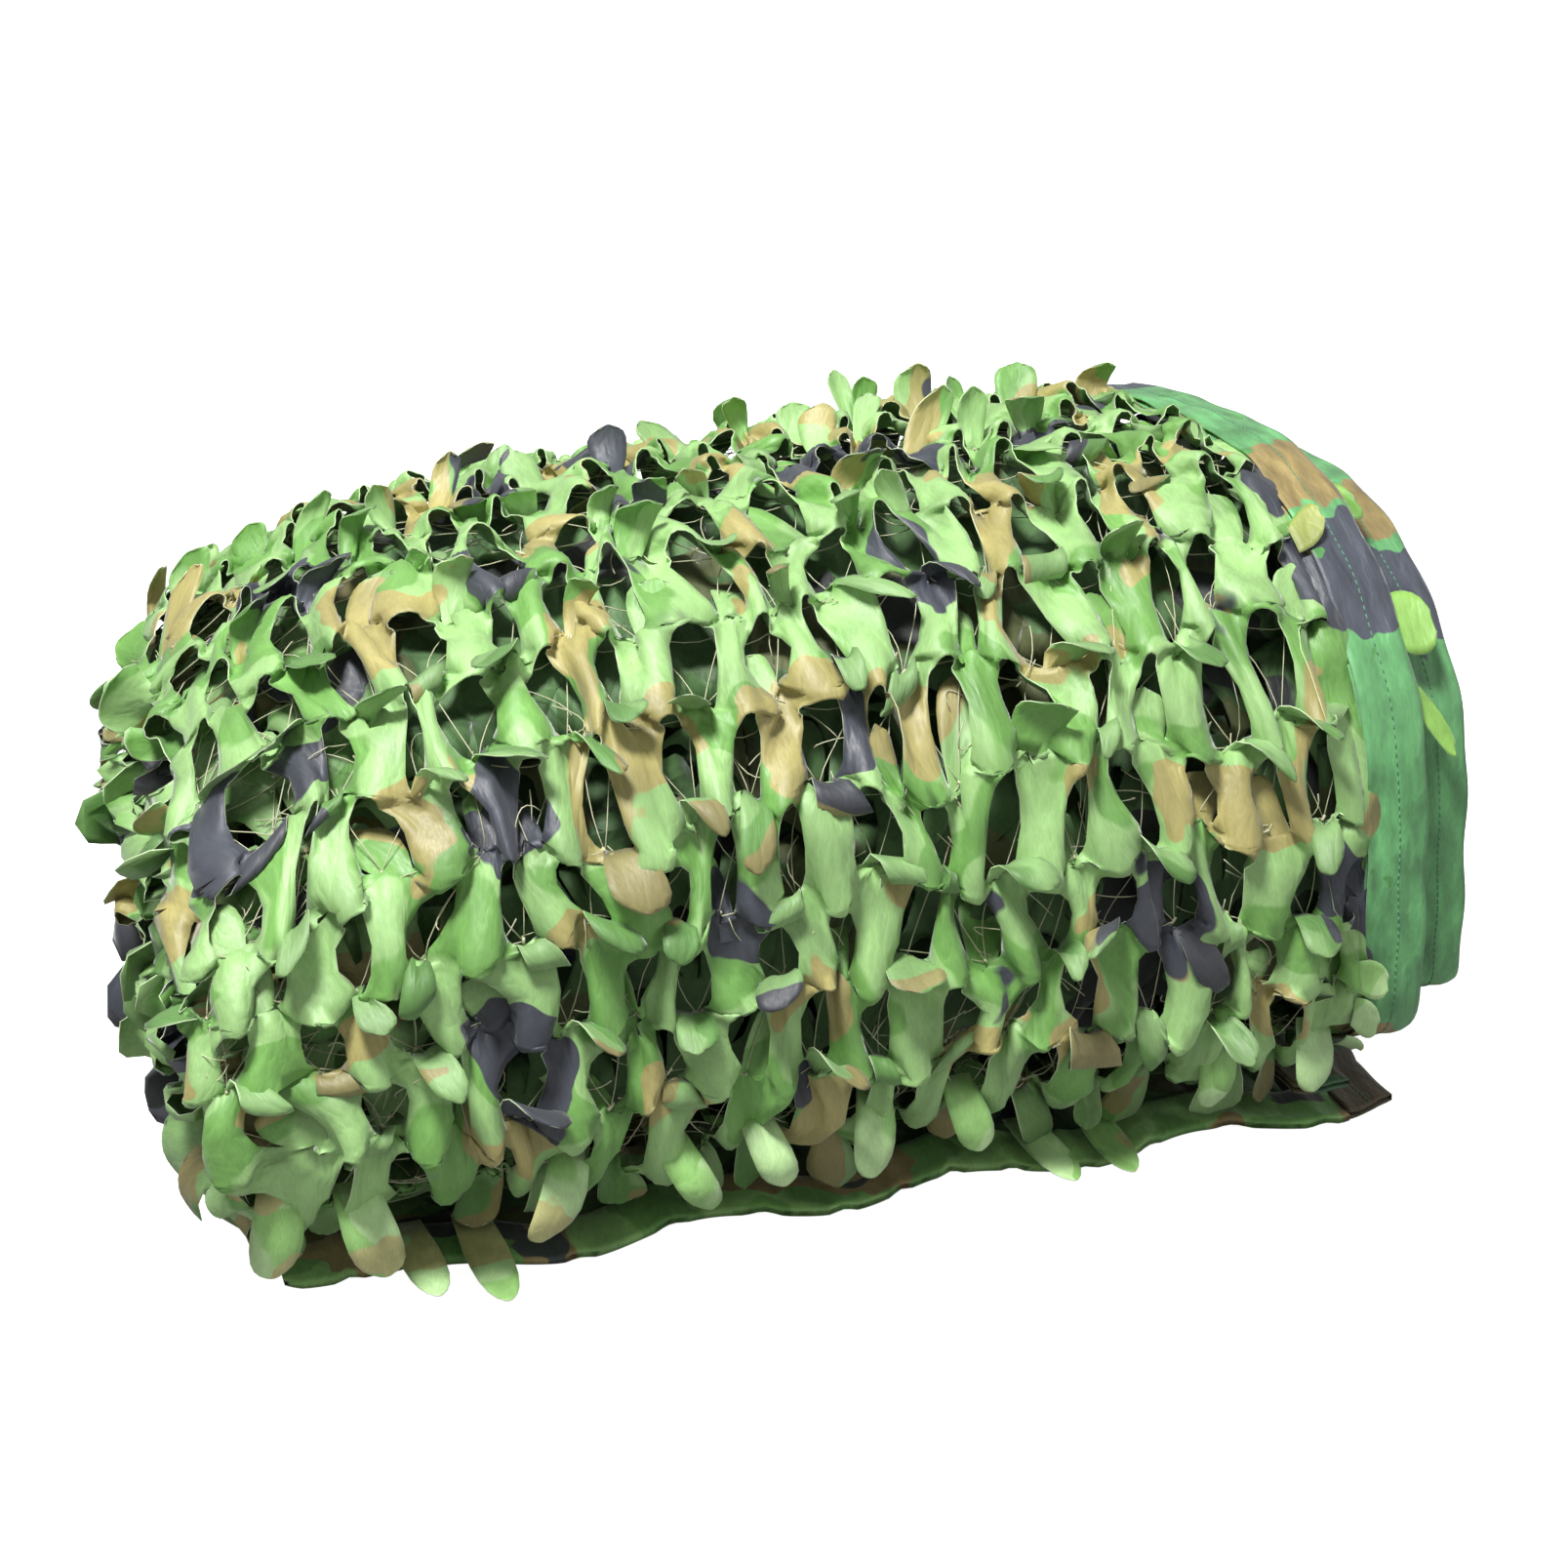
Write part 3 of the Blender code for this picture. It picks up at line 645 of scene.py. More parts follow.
def cut_cloth(name, detail, cells, room=1.0, steps=0, calm=0.0):
    """A piece of the leaf-cut cloth over the given (row, column) cells, and its flat area.

    room scales how far it stands off, steps settle it, and calm keeps its tongues flat.
    """
    plan = DETAILS[detail]
    cells = np.array(cells)
    rows, columns = cells.T
    flat = cloth_points(detail, rows, columns)
    base = (np.arange(len(cells)) * flat.shape[1])[:, None]
    quads = (plan["quads"][None] + base[..., None]).reshape(-1, 4)
    flat = flat.reshape(-1, 2)
    for at_right, at_end in ((True, columns == 0), (False, columns >= COLUMNS - 2)):
        beside = np.unique(rows[at_end])
        if len(beside):
            extra = margin_cells(detail, beside, at_right)
            quads = np.r_[quads, len(flat) + np.arange(extra.size // 2).reshape(-1, 4)]
            flat = np.r_[flat, extra.reshape(-1, 2)]
    keys = np.round(flat * 2e5).astype(np.int64)
    _, first, same = np.unique(keys, axis=0, return_index=True, return_inverse=True)
    same = same.ravel()
    flat, quads = flat[first], same[quads]
    a, s = flat.T
    da, ds, lift = relief(a, s)
    free = smooth((a - MARGIN) / 0.03) * smooth((CLOTH_WIDTH - MARGIN - a) / 0.03)
    free = free * room * layer_share(a)
    raised = np.c_[a + da * free, s + ds * free, lift * free]
    cut = flat * ((FULL_ACROSS, FULL_ALONG) if steps else (1, 1))
    if steps:
        feet = tied_feet(flat)
        edges = (a < CUT_RIGHT + 0.001) | (a > a.max() - 0.001)
        edges |= (s > s.max() - 0.001) | (s < s.min() + 0.001)
        pulled = scattered(len(flat), FOOT_JITTER) + (0, 0, FOOT_RISE)
        raised = raised + pulled * (feet & ~edges)[:, None]
        raised = settle(raised, flat, quads, feet | edges, steps)
    if plan["tongue_rows"]:
        last = (len(plan["depth"]) - 1) * len(plan["border"])
        hinge = same[last + plan["hinge"][None] + base]
        tongue = tongue_points(detail, rows, columns, raised[hinge], calm)
        q = tongue_shares(plan)[None, :, None, None]
        tongue_cut = cut[hinge][:, None] + q * (0.0, TONGUE_LENGTH)
        widen = np.interp(q, TONGUE_OUTLINE[:, 0], TONGUE_OUTLINE[:, 1]) / TONGUE_OUTLINE[0, 1]
        centre = cut[hinge].mean(axis=1)[:, None, None, :]
        tongue_cut[..., 0] = centre[..., 0] + (tongue_cut[..., 0] - centre[..., 0]) * widen[..., 0]
        ids = len(flat) + np.arange(tongue[..., 0].size).reshape(tongue.shape[:3])
        ids = np.concatenate((hinge[:, None], ids), axis=1)
        quads = np.r_[quads, grid_quads(ids)]
        raised = np.r_[raised, tongue.reshape(-1, 3)]
        cut = np.r_[cut, tongue_cut.reshape(-1, 2)]
    used, faces = np.unique(quads[:, ::-1], return_inverse=True)
    points = folded(*wandered(*raised[used].T))
    made = mesh_object(name, points, faces.reshape(-1, 4), cut[used])
    # painted shade: faces of the inner pieces farther than IN_SIGHT from the fold take slot 3, a
    # darker copy of the print
    painted_shade_faces = np.abs(flat_of_face(raised, quads)[:, 0] - FOLD_MIDDLE) > IN_SIGHT
    if name in INNER_PIECES:
        made.data.polygons.foreach_set("material_index", 3 * painted_shade_faces.astype(np.int32))
    give_thickness(made)
    area = area_of(cut, quads)
    print(f"{name}: {len(cells)} cells, {len(faces.ravel()) // 4} quads, {area:.3f} m2")
    return made, area


def block(first_row, last_row, first_column, last_column):
    """Every (row, column) of a block of cells; a shifted row has one column less."""
    return [
        (row, column)
        for row in range(first_row, last_row + 1)
        for column in range(first_column, min(last_column, COLUMNS - 1 - row % 2) + 1)
    ]


FOLD_COLUMN = 17  # the last column that shows from the front
LAST = COLUMNS - 1
# beyond IN_SIGHT from the fold, the inner pieces take painted shade
IN_SIGHT = 0.13  # how far from the fold the bundle's left end shows the inner cloth
AT_LOW_TURN, AT_MIDDLE_TURN = block(-10, -6, 18, LAST), block(29, 33, 18, LAST)
AT_CORE_TURN = block(44, 47, 0, FOLD_COLUMN)
UNDERSIDE = block(-15, -11, 18, LAST) + block(-15, -13, 0, FOLD_COLUMN)
#  name, detail, rows and columns, room, steps and calm
PIECES = (
    ("cloth_front", "fine", block(-1, 12, 0, FOLD_COLUMN), 1.0, 260, 0.0),
    ("cloth_back_top", "fine", block(13, 15, 0, FOLD_COLUMN), 0.6, 60, 0.45),
    ("cloth_back_core", "middling", AT_CORE_TURN, 0.5, 60, 0.5),
    ("cloth_back_low", "middling", AT_LOW_TURN, 0.5, 60, 0.5),
    ("cloth_back_mid", "middling", AT_MIDDLE_TURN, 0.5, 60, 0.5),
    ("cloth_behind", "middling", block(-5, 5, 18, LAST), 0.8, 0, 0.6),
    ("cloth_behind_top", "closed", block(6, 15, 18, LAST), -1.8, 0, 0.0),
    ("cloth_left_end", "middling", block(16, 43, 14, FOLD_COLUMN), 0.8, 60, 0.2),
    ("cloth_lower", "middling", block(-12, -2, 0, FOLD_COLUMN), 0.6, 0, 0.5),
    ("cloth_under", "closed", UNDERSIDE, 0.0, 0, 1.0),
    ("cloth_inside", "closed", block(16, 43, 0, 13) + block(48, 49, 0, FOLD_COLUMN), 0.7, 0, 0.6),
    ("cloth_inmost", "closed", block(16, 28, 18, LAST) + block(34, 49, 18, LAST), 0.6, 0, 0.8),
)
INNER_PIECES = (
    "cloth_behind", "cloth_behind_top", "cloth_lower",
    "cloth_under", "cloth_inside", "cloth_inmost",
)
CLOTHS, AREAS = {}, {}
for piece_name, *how in PIECES:
    CLOTHS[piece_name], AREAS[piece_name] = cut_cloth(piece_name, *how)
CUT_NAMES = tuple(CLOTHS)

# %% [markdown]
# The cloth is tied to a mesh of pale cord. Through each arch two of its cords show, which
# run up from the tied foot of the tongue, and here and there a slack end.


# %% The cord mesh
CORD_RADIUS = 0.00036
KNOT_RADIUS = 0.0010
SLACK_REACH = (0.026, 0.040)
SLACK_SHARE = 0.6  # of the feet that have a slack end of each reach


def tubes(name, lines, radius):
    """A joined mesh of closed four-sided tubes round lines (n, m, 3), all of one radius."""
    sides = 4
    n, m = lines.shape[:2]
    along = np.gradient(lines, axis=1)
    along /= np.linalg.norm(along, axis=2, keepdims=True) + 1e-12
    side = np.cross(along, (0.31, 0.52, 0.79))
    side /= np.linalg.norm(side, axis=2, keepdims=True) + 1e-12
    other = np.cross(along, side)
    turn = 2 * np.pi * np.arange(sides) / sides
    ring = side[:, :, None] * np.cos(turn)[:, None] + other[:, :, None] * np.sin(turn)[:, None]
    points = lines[:, :, None] + radius * ring
    ids = np.arange(n * m * sides).reshape(n, m, sides)
    ends = np.r_[ids[:, 0, ::-1], ids[:, -1]]
    return mesh_object(name, points.reshape(-1, 3), np.r_[grid_quads(ids, closed=True), ends])


def bowed(start, end, bow, steps=6):
    """Lines (n, steps + 1, 3) from starts to ends, bowed by a vector in their middle."""
    q = np.linspace(0, 1, steps + 1)[None, :, None]
    return start[:, None] * (1 - q) + end[:, None] * q + 4 * q * (1 - q) * bow[:, None]


def placed(lines):
    """Lines of flat points, those between the margins only, in their places in space."""
    a = lines[..., 0]
    inside = (a.min(axis=1) > MARGIN) & (a.max(axis=1) < CLOTH_WIDTH - MARGIN)
    return folded(*wandered(*np.moveaxis(lines[inside], -1, 0)))


def cord_mesh(name, cells):
    """Cords between tied feet, slack ends and knots, behind the given cells."""
    rows, columns = np.array(cells).T
    number = len(rows)
    a = CUT_RIGHT + (columns + 0.5 + 0.5 * (rows % 2)) * COLUMN_PITCH
    s = CUT_START + rows * ROW_PITCH
    deep = np.full(number, DEEPEST + 0.002)
    foot = np.stack((a, s, deep), axis=-1)
    lines = []
    for across, along in ((-0.5, 1), (0.5, 1), (1, 0)):
        end = foot + (across * COLUMN_PITCH, along * ROW_PITCH, 0)
        end = end + scattered(number, (0.005, 0.008, 0.003))
        bow = scattered(number, (0.004, 0.005, 0.002)) - (0, 0.004 * across, 0.002)
        lines.append(bowed(foot, end, bow))
    for reach in SLACK_REACH:
        start = foot + scattered(number, (0.012, 0.010, 0.003)) + (0, 0.018, 0)
        end = start + scattered(number, (reach, reach, 0.008))
        end[:, 2] = np.clip(end[:, 2], DEEPEST - 0.004, 0.008)
        bow = scattered(number, (0.010, 0.010, 0.003))
        lines.append(bowed(start, end, bow)[chance.random(number) < SLACK_SHARE])
    ends = scattered(number, (0.002, 0.002, 0.001))
    knots = bowed(foot - ends, foot + ends + (0, 0.0006, 0), 0 * foot, 2)
    return (
        tubes(f"cords_{name}", placed(np.concatenate(lines)), CORD_RADIUS),
        tubes(f"knots_{name}", placed(knots), KNOT_RADIUS),
    )


cords = cord_mesh("front", block(-2, 15, 0, FOLD_COLUMN))
cords += cord_mesh("back", AT_LOW_TURN + AT_MIDDLE_TURN + AT_CORE_TURN)
print("cords:", sum(len(piece.data.polygons) for piece in cords), "faces")

# %% [markdown]
# Bindings: strips of plain camouflage cloth, folded over the net's edges and sewn.


# %% Bindings
BINDING_WIDTH = 0.040
WALL = 0.0012
HALF_HOLLOW = 0.0013  # half of the room for the cloth in a folded tape
INNER_LIFT = 0.0015
HEM_END = 0.002


def binding_section(points=13):
    """A folded tape: (from the cloth's edge inwards, height), once round its section."""
    inwards = np.linspace(0.0006, BINDING_WIDTH, points)
    outer = HALF_HOLLOW + WALL + 0 * inwards
    outer[0] -= 0.0006
    top = np.c_[inwards, outer]
    under_top = np.c_[inwards[::-1], HALF_HOLLOW + 0 * inwards]
    return np.concatenate((top, under_top, under_top[::-1] * (1, -1), top[::-1] * (1, -1)))


def sweep(name, rings, flat, other_way=False):
    """A closed mesh through rings (n, m, 3), with flat ends of quads."""
    n, m = rings.shape[:2]
    ids = np.arange(n * m).reshape(n, m)
    k = np.arange(m // 4 - 1)
    arm = np.stack((k, m // 2 - 1 - k, m // 2 - 2 - k, k + 1), axis=-1)
    arms = np.r_[arm, m - 1 - arm[:, (0, 3, 2, 1)]]
    web = np.array(((0, m - 1, m // 2, m // 2 - 1),))
    caps = np.r_[arms, web]
    quads = np.r_[grid_quads(ids, closed=True), caps, caps[:, ::-1] + (n - 1) * m]
    if other_way:
        quads = quads[:, ::-1]
    return mesh_object(name, rings.reshape(-1, 3), quads, flat.reshape(-1, 2))


def tape_lift(inwards, s):
    """Creases along a tape, and the slight waves of its free edge."""
    crease = 0.0002 * np.sin(2 * np.pi * inwards / 0.0125 + 3.5 * np.sin(13 * s) + 1.3)
    crease = crease + 0.0006 * np.sin(2 * np.pi * inwards / 0.037 + 2.4 * np.sin(19 * s))
    waves = np.sin(2 * np.pi * s / 0.083) + 0.6 * np.sin(2 * np.pi * s / 0.047 + 1)
    return crease + 0.0012 * waves * inwards / BINDING_WIDTH


def tape_place(inwards, height, s, inner):
    """Flat point and lift on a side tape; the inner layer's tape faces the other way."""
    edge = 0.0010 * np.sin(2 * np.pi * s / 0.061) * (1 - inwards / BINDING_WIDTH)
    a, lift = inwards + edge, height + tape_lift(inwards, s)
    return (CLOTH_WIDTH - a, -lift - INNER_LIFT) if inner else (a, lift)


def tape(name, inner):
    """A binding along a side edge, along the whole path."""
    section = binding_section()
    s = np.linspace(0, CLOTH_LENGTH, 650)[:, None]
    a, lift = tape_place(section[None, :, 0], section[None, :, 1], s, inner)
    flat = np.stack(np.broadcast_arrays(a, s), axis=-1)
    return sweep(name, folded(a, s, lift), flat, inner)


def hem_tape(name):
    """The binding of the short edge on the floor, in its waves and soft pleats."""
    section = binding_section()
    a = np.linspace(FOLD_END + HEM_END, CLOTH_WIDTH - BINDING_WIDTH - 0.0003, 150)[:, None]
    inwards = section[None, :, 0]
    pleats = 0.0024 * np.clip(np.sin(2 * np.pi * a / 0.047 + 2 * np.sin(a / 0.06)), 0, 1) ** 2
    lift = -section[None, :, 1] - INNER_LIFT - 0.7 * tape_lift(inwards, a) - pleats
    s = inwards - 0.0015
    flat = np.stack(np.broadcast_arrays(a, s), axis=-1)
    return sweep(name, folded(a, s, lift), flat)


outer_tape = tape("tape_outer", False)
inner_tape = tape("tape_inner", True)
front_tape = hem_tape("tape_front")
TAPES = {"binding_outer": outer_tape, "binding_inner": inner_tape, "binding_front": front_tape}

# %% [markdown]
# Loose leaves of the net stick out between the two bindings at the right, and over the
# outer one. Each is a rounded leaf from its foot in the cloth to its free tip.

# %% Leaves at the bindings
#  foot and tip across the cloth, place along it, half width, tilt, lift of foot and tip
LEAVES = np.array(
    (
        (0.006, -0.021, 1.062, 0.017, -0.004, -0.0034, 0.0020),
        (0.006, -0.020, 1.032, 0.010, -0.036, -0.0034, -0.0005),
        (0.006, -0.010, 1.146, 0.016, -0.010, -0.0034, -0.0020),
        (0.048, 0.026, 1.110, 0.011, 0.010, 0.0040, 0.0100),
        (0.047, 0.029, 0.876, 0.011, -0.004, 0.0040, 0.0085),
        (0.047, 0.031, 0.856, 0.010, -0.008, 0.0040, 0.0080),
        (0.046, 0.028, 0.832, 0.011, -0.010, 0.0040, 0.0090),
    )
)
LEAF_STEPS = 8
leaf_q = np.sin(np.pi / 2 * np.linspace(0, 1, LEAF_STEPS))[None, :, None]  # along a leaf
leaf_place = np.linspace(-1, 1, LEAF_STEPS)[None, None, :]  # across it
past = np.clip(1 - (np.clip(leaf_q - 0.45, 0, 1) / 0.57) ** 3, 0, 1) ** 0.5
leaf_wide = np.where(leaf_q < 0.45, 0.8 + 0.444 * leaf_q, past)


def leaf_piece(name, points, flat):
    """A piece of cloth from grids of points (leaves, along, across, 3), and its flat area."""
    ids = np.arange(flat[..., 0].size).reshape(flat.shape[:3])
    quads = grid_quads(ids)[:, (0, 3, 2, 1)]
    flat = flat.reshape(-1, 2)
    made = mesh_object(name, points.reshape(-1, 3), quads, flat)
    give_thickness(made)
    return made, area_of(flat, quads)


def edge_leaves(name):
    """Round leaves: half width times sqrt(1 - ((q - 0.45) / 0.57)^3) from q = 0.45 on."""
    foot, tip, middle, half, tilt, low, high = LEAVES.T[:, :, None, None]
    a = foot + (tip - foot) * leaf_q + 0 * leaf_place
    s = middle + tilt * leaf_q + leaf_place * half * leaf_wide
    lift = low + (high - low) * leaf_q**2 + 0.0012 * leaf_place**2 * leaf_q
    return leaf_piece(name, folded(a, s, lift), np.stack((a, s), axis=-1))


CLOTHS["leaves_at_bindings"], AREAS["leaves_at_bindings"] = edge_leaves("leaves_at_bindings")
leaf_faces = CLOTHS["leaves_at_bindings"].data.polygons
# painted light: the binding leaves are split into two palettes by how much light they catch; the
# lower ones take the pale leaf-tip colours
UPPER_LEAVES = 4  # the rest, low down, catch less light
low_down = np.arange(len(leaf_faces)) >= UPPER_LEAVES * (LEAF_STEPS - 1) ** 2
leaf_faces.foreach_set("material_index", 3 * low_down.astype(np.int32))

# %% [markdown]
# Below the lowest row, long leaves hang down over the hem, and some reach past it. They are listed
# one by one, as uneven as on the real net, each with a round, slightly cupped end.

# %% Leaves over the hem
#  foot: X, Y, Z; tip: X, Y, Z; half width; how far it bows forwards
HANGING = np.array(
    (
        (-0.335, -0.200, 0.080, -0.343, -0.212, 0.032, 0.0145, 0.006),
        (-0.296, -0.200, 0.076, -0.284, -0.217, 0.024, 0.0150, 0.012),
        (-0.262, -0.150, 0.014, -0.258, -0.229, 0.014, 0.0120, 0.000),
        (-0.225, -0.150, 0.014, -0.222, -0.238, 0.009, 0.0125, 0.000),
        (-0.176, -0.200, 0.078, -0.200, -0.224, 0.033, 0.0135, 0.014),
        (-0.125, -0.200, 0.080, -0.104, -0.226, 0.036, 0.0120, 0.014),
        (-0.072, -0.200, 0.078, -0.060, -0.222, 0.040, 0.0120, 0.012),
        (0.000, -0.200, 0.082, -0.008, -0.223, 0.036, 0.0125, 0.006),
        (0.049, -0.200, 0.080, 0.058, -0.221, 0.040, 0.0120, 0.010),
        (0.112, -0.150, 0.014, 0.116, -0.227, 0.013, 0.0120, 0.000),
        (0.156, -0.150, 0.014, 0.152, -0.229, 0.013, 0.0115, 0.000),
        (0.214, -0.200, 0.082, 0.204, -0.220, 0.042, 0.0120, 0.010),
        (0.278, -0.200, 0.080, 0.272, -0.220, 0.040, 0.0125, 0.006),
    )
)


def hanging_leaves(name):
    """Leaves from foot to tip, bowed by bow sin(pi q), their width along X, cupped across."""
    columns = HANGING.T[:, :, None, None]
    foot, tip, (half, bow) = columns[:3], columns[3:6], columns[6:]
    across = leaf_place * half * leaf_wide
    forwards = -bow * np.sin(np.pi * leaf_q) + 0.0030 * leaf_place**2 * np.sin(2 * leaf_q)
    x, y, z = foot + (tip - foot) * leaf_q
    points = np.broadcast_arrays(x + across, y + forwards, z)
    length = np.linalg.norm(tip - foot, axis=0)
    flat = np.broadcast_arrays(x + across, length * leaf_q)
    return leaf_piece(name, np.stack(points, axis=-1), np.stack(flat, axis=-1))


CLOTHS["leaves_over_hem"], AREAS["leaves_over_hem"] = hanging_leaves("leaves_over_hem")

# %% [markdown]
# Each side tape is sewn on with a green thread, in a line along its middle. The stitches are
# short raised bars on both faces.


# %% Stitches
STITCH, STITCH_PITCH = 0.0030, 0.0044
SEAM = 0.020  # from the binding's edge


def stitches(name, starts, ends, up):
    """Bars from starts to ends, raised along the unit vectors `up`."""
    along = ends - starts
    along /= np.linalg.norm(along, axis=1, keepdims=True)
    side = np.cross(along, up)
    corners = []
    for end, wide, high in (
        (starts, -1, 0), (starts, 1, 0), (ends, 1, 0), (ends, -1, 0),
        (starts, -0.5, 1), (starts, 0.5, 1), (ends, 0.5, 1), (ends, -0.5, 1),
    ):
        corners.append(end + side * wide * 0.0004 + up * (high * 0.0005 - 0.0001))
    points = np.stack(corners, axis=1)
    sides = ((0, 1, 5, 4), (1, 2, 6, 5), (2, 3, 7, 6), (3, 0, 4, 7))
    box = np.array(((3, 2, 1, 0), (4, 5, 6, 7), *sides))
    faces = box[None] + 8 * np.arange(len(starts))[:, None, None]
    return mesh_object(name, points.reshape(-1, 3), faces.reshape(-1, 4)[:, ::-1])


def tape_stitches(name, inner):
    """A row of stitches on each face of a side tape."""
    found = []
    s = np.arange(0.002, CLOTH_LENGTH - 0.004, STITCH_PITCH)
    for face in (-1, 1):
        height = face * (HALF_HOLLOW + WALL)
        ends = []
        for at, extra in ((s, 0), (s + STITCH, 0), (s, face * 0.001)):
            a, lift = tape_place(np.full_like(s, SEAM), height + extra, at, inner)
            ends.append(folded(a, at, lift))
        up = ends[2] - ends[0]
        found.append((ends[0], ends[1], up / np.linalg.norm(up, axis=1, keepdims=True)))
    return stitches(name, *(np.concatenate(parts) for parts in zip(*found)))


sewing = (tape_stitches("stitches_outer", False), tape_stitches("stitches_inner", True))
print("stitches:", sum(len(piece.data.vertices) for piece in sewing) // 8)

# %% [markdown]
# The stage is a plain pale floor. The camera looks down at the bundle's front, from a
# little to its left.

# %% Floor and camera
floor = mesh_object(
    "floor",
    np.array(((-30, -30, 0), (30, -30, 0), (30, 30, 0), (-30, 30, 0)), float),
    np.array(((0, 1, 2, 3),)),
)

ELEVATION, AZIMUTH = 0.3924, 0.3249  # in radians
DISTANCE = 1.6734
TARGET = Vector((0.01785, 0.01043, 0.1811))
SENSOR_WIDTH = 36
FOCAL_LENGTH, PICTURE_WIDTH = 2760.7, 1607  # both in pixels
view = Vector(
    (
        math.sin(AZIMUTH) * math.cos(ELEVATION),
        math.cos(AZIMUTH) * math.cos(ELEVATION),
        -math.sin(ELEVATION),
    )
)
camera = bpy.data.objects.new("camera", bpy.data.cameras.new("camera"))
camera.location = TARGET - view * DISTANCE
camera.rotation_euler = view.to_track_quat("-Z", "Y").to_euler()
camera.data.sensor_width = SENSOR_WIDTH
camera.data.lens = SENSOR_WIDTH * FOCAL_LENGTH / PICTURE_WIDTH
scene.collection.objects.link(camera)
scene.camera = camera

# %% [markdown]
# Soft studio light: a key light overhead and to the left, a weak fill from the right, and
# a dim sky that looks white to the camera.


# %% Lights
def area_light(name, place, size, watts):
    """A soft square light that looks at the bundle."""
    data = bpy.data.lights.new(name, "AREA")
    data.energy = watts
    data.size = size
    light = bpy.data.objects.new(name, data)
    light.location = place
    light.rotation_euler = (TARGET - Vector(place)).to_track_quat("-Z", "Y").to_euler()
    scene.collection.objects.link(light)


area_light("key", (-0.8, -0.55, 2.75), 0.6, 106)
area_light("fill", (1.9, -1.5, 1.4), 1.4, 7)
world = bpy.data.worlds.new("studio")
scene.world = world
world.use_nodes = True
tree = world.node_tree
soft = tree.nodes["Background"]
soft.inputs["Color"].default_value = (1, 1, 1, 1)
soft.inputs["Strength"].default_value = 0.34
bright = tree.nodes.new("ShaderNodeBackground")
bright.inputs["Color"].default_value = (1, 1, 1, 1)
path = tree.nodes.new("ShaderNodeLightPath")
either = tree.nodes.new("ShaderNodeMixShader")
tree.links.new(path.outputs["Is Camera Ray"], either.inputs[0])
tree.links.new(soft.outputs[0], either.inputs[1])
tree.links.new(bright.outputs[0], either.inputs[2])
tree.links.new(either.outputs[0], tree.nodes["World Output"].inputs["Surface"])
scene.view_settings.view_transform = "Standard"

# %% [markdown]
# A material is a graph of nodes. The class below gives short names to those used often.


# %% Colours and nodes
def linear(red, green, blue):
    """A colour of 0 to 255 as linear light: ((c / 255 + 0.055) / 1.055) ^ 2.4."""
    return tuple(((c / 255 + 0.055) / 1.055) ** 2.4 for c in (red, green, blue))


class Graph:
    """A material's nodes, with short names for what is used often."""

    def __init__(self, name, roughness):
        self.material = bpy.data.materials.new(name)
        self.material.use_nodes = True
        self.tree = self.material.node_tree
        self.shader = self.tree.nodes["Principled BSDF"]
        self.shader.inputs["Roughness"].default_value = roughness

    def node(self, kind, inputs=(), **settings):
        made = self.tree.nodes.new(kind)
        for key, value in settings.items():
            setattr(made, key, value)
        for key, value in dict(inputs).items():
            if isinstance(value, bpy.types.NodeSocket):
                self.tree.links.new(value, made.inputs[key])
            else:
                made.inputs[key].default_value = value
        return made

    def math(self, operation, first, second=0.0):
        return self.node("ShaderNodeMath", {0: first, 1: second}, operation=operation).outputs[0]

    def flat_place(self):
        """The place on the flat cloth, in metres."""
        return self.node("ShaderNodeUVMap", uv_map="flat").outputs[0]

    def stretched(self, vector, across, along):
        """A place scaled across and along the cloth."""
        return self.node("ShaderNodeMapping", {0: vector, 3: (across, along, 1)}).outputs[0]

    def noise(self, vector, scale, detail=1.0):
        values = {"Vector": vector, "Scale": scale, "Detail": detail, "Roughness": 0.5}
        return self.node("ShaderNodeTexNoise", values).outputs["Fac"]

    def ranged(self, value, low, high, first=0.0, last=1.0):
        """A value from low to high, turned into one from first to last and kept there."""
        values = {0: value, 1: low, 2: high, 3: first, 4: last}
        return self.node("ShaderNodeMapRange", values).outputs[0]

    def grey(self, shade):
        """A shade as a colour."""
        return self.node("ShaderNodeCombineColor", {k: shade for k in range(3)}).outputs[0]

    def mix(self, factor, first, second, blend="MIX"):
        """Two colours mixed; each and the factor may be a value or another node's output."""
        made = self.node("ShaderNodeMix", data_type="RGBA", blend_type=blend)
        for key, value in ((0, factor), (6, first), (7, second)):
            if isinstance(value, bpy.types.NodeSocket):
                self.tree.links.new(value, made.inputs[key])
            else:
                made.inputs[key].default_value = value if key == 0 else (*value, 1)
        return made.outputs[2]

    def moved(self, vector, by):
        """A place moved by a vector."""
        values = {0: vector, 1: by}
        return self.node("ShaderNodeVectorMath", values, operation="ADD").outputs[0]

    def patch(self, vector, by, scale, level, detail=0.6, edge=0.006):
        """1 where a noise is over a level, with a crisp edge."""
        noise = self.noise(self.moved(vector, by), scale, detail)
        return self.ranged(noise, level, level + edge)


# %% [markdown]
# The print is made up of patches of tan and dark grey over two greens. Each palette holds
# a light and a middle colour, tan and dark, for one kind of piece.


# %% The print
WARP = 0.03  # how far the patches' outlines wander, in metres
#  seed, scale, level, edge of the middle colour's patches, the tan's and the dark's
PATCHES = (
    ((3, 0, 0), 15, 0.52, 0.022),
    ((0, 7, 0), 14, 0.590, 0.006),
    ((9, 5, 0), 11, 0.632, 0.006),
)


